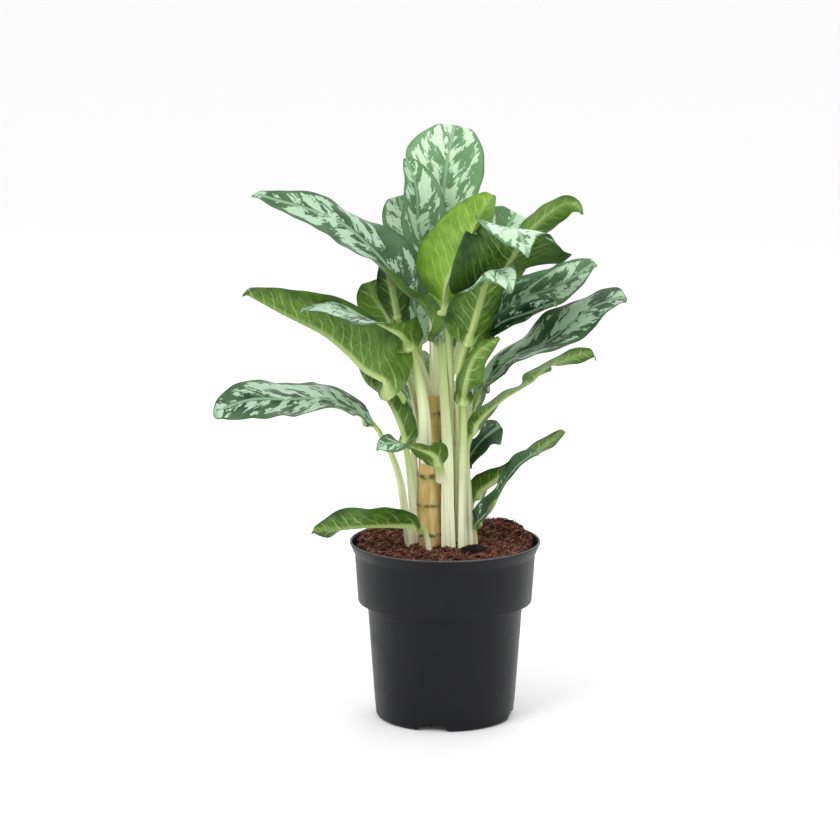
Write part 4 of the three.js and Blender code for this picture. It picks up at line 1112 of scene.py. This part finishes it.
pot = bmesh.new()
points = [pot.verts.new((radius * MM, 0, height * MM)) for radius, height in UNDER + OUTSIDE + INSIDE]
edges = [pot.edges.new(pair) for pair in zip(points, points[1:])]
bmesh.ops.spin(
    pot, geom=points + edges, axis=(0, 0, 1), cent=(0, 0, 0), angle=2 * math.pi,
    steps=POT_STEPS, use_merge=True,
)
bmesh.ops.remove_doubles(pot, verts=pot.verts, dist=0.01 * MM)
for vert in pot.verts:
    x, y, z = vert.co
    if z > CHANNEL_FADE:
        continue
    for angle in CHANNELS:
        out = x * math.cos(angle) + y * math.sin(angle)
        aside = abs(y * math.cos(angle) - x * math.sin(angle))
        inside = ease(CHANNEL_START - MM, CHANNEL_START, out)
        slope = np.clip((CHANNEL_HALF_FOOT - aside) / (CHANNEL_HALF_FOOT - CHANNEL_HALF_TOP), 0, 1)
        vert.co.z += CHANNEL_HEIGHT * slope * inside * (1 - z / CHANNEL_FADE)
print("pot faces:", len(pot.faces))

# %% [markdown]
# ## Pot plastic
# The plastic is dark charcoal with a satin sheen. Moulding leaves a very fine grain and faint
# upright flow lines, handling leaves a little dust, and a pale line along the lip is a painted highlight.

# %% Build the plastic and finish the pot
# heights where the painted highlight on the lip begins and where it is full
LIP_SHINE_FROM, LIP_SHINE_FULL = 158.5 * MM, 159.8 * MM
pot_plastic, t, skin_in = new_material("pot_plastic")
here = on_piece(t)
grain = cloud(t, here, 1400.0)
flow_at = add(t, "ShaderNodeMapping", {"Vector": here, "Scale": (60.0, 60.0, 4.0)}).outputs[0]
flow = cloud(t, flow_at, 1.0, 4.0)
dust = cloud(t, here, 35.0, 6.0)
dusty = times(t, fade(t, dust, 0.5, 0.75), 0.25)
plain = blend(t, flow, "06070B", "0C0D12")
plain = blend(t, dusty, plain, "17171A")
height = split(t, here)["Z"]
# the lip's pale line is a painted highlight, broken up by the dust noise
lip_highlight = times(t, fade(t, height, LIP_SHINE_FROM, LIP_SHINE_FULL), fade(t, dust, 0.3, 0.6, 0.4, 1.0))
skin_colour = blend(t, lip_highlight, plain, "5A5B5D")
roughness = calc(t, "MULTIPLY_ADD", dusty, 0.5, fade(t, flow, 0.3, 0.7, 0.34, 0.42))
finish(t, skin_in, skin_colour, roughness, gloss=0.22, height=grain, strength=0.25, depth=0.0002)
pot_shell = keep(pot, "pot_shell", pot_plastic, ["pot"])
print("pot spans", [round(side * 1000, 1) for side in pot_shell.dimensions], "mm")

# %% [markdown]
# ## Studio
# The plant stands on a plain white floor in soft light: a large lamp high at the left front shapes
# the leaves, a weaker one at the right opens the shadows, one behind lifts the edges, and a white
# world wraps round it all.

# %% Floor, lights and world
FLOOR_HALF = 40.0
LAMP_AIM = Vector((0, 0, 0.3))
floor = bmesh.new()
bmesh.ops.create_grid(floor, x_segments=1, y_segments=1, size=FLOOR_HALF)
floor_mesh = bpy.data.meshes.new("studio_floor")
floor.to_mesh(floor_mesh)
floor.free()
floor_paper, t, skin_in = new_material("floor_paper")
here = on_piece(t)
mottle = cloud(t, here, 300.0)
t.links.new(blend(t, mottle, "FAFAFA", "FCFCFC"), skin_in["Base Color"])
t.links.new(fade(t, mottle, 0.3, 0.7, 0.9, 1.0), skin_in["Roughness"])
skin_in["Specular IOR Level"].default_value = 0.1
floor_mesh.materials.append(floor_paper)
studio_floor = put("studio_floor", floor_mesh)

lamps = [
    ("key_lamp", (-1.6, -2.0, 2.3), 1.2, 36.0),
    ("fill_lamp", (2.0, -1.6, 1.5), 1.8, 8.0),
    ("back_lamp", (0.6, 2.0, 2.2), 1.6, 16.0),
]
for name, place, size, power in lamps:
    light = bpy.data.lights.new(name, "AREA")
    light.size, light.energy = size, power
    lamp = put(name, light)
    lamp.location = place
    lamp.rotation_euler = (LAMP_AIM - Vector(place)).to_track_quat("-Z", "Y").to_euler()

world = bpy.data.worlds.new("white_studio")
world.use_nodes = True
sky = world.node_tree.nodes["Background"].inputs
sky["Color"].default_value = (1, 1, 1, 1)
sky["Strength"].default_value = 1.0
bpy.context.scene.world = world
bpy.context.scene.view_settings.view_transform = "Standard"
print("lamps:", len(lamps))

# %% [markdown]
# ## Camera
# The photograph was taken from straight ahead with a long lens, a little above the plant, looking
# down ten degrees. From the rim's ellipse and the pot's width follow its distance and its height.

# %% Place the camera
IMAGE_WIDTH = 840
FOCAL_PIXELS = 2650
SENSOR = 36
CAMERA_PLACE = (-0.0223, -2.309, 0.678)
CAMERA_TILT = math.radians(10.06)
camera = bpy.data.cameras.new("camera")
camera.sensor_width = SENSOR
camera.lens = FOCAL_PIXELS / IMAGE_WIDTH * SENSOR
viewer = put("camera", camera)
viewer.location = CAMERA_PLACE
viewer.rotation_euler = (math.pi / 2 - CAMERA_TILT, 0, 0)
bpy.context.scene.camera = viewer
print(f"lens {camera.lens:.1f} mm at {viewer.location.length:.2f} m")
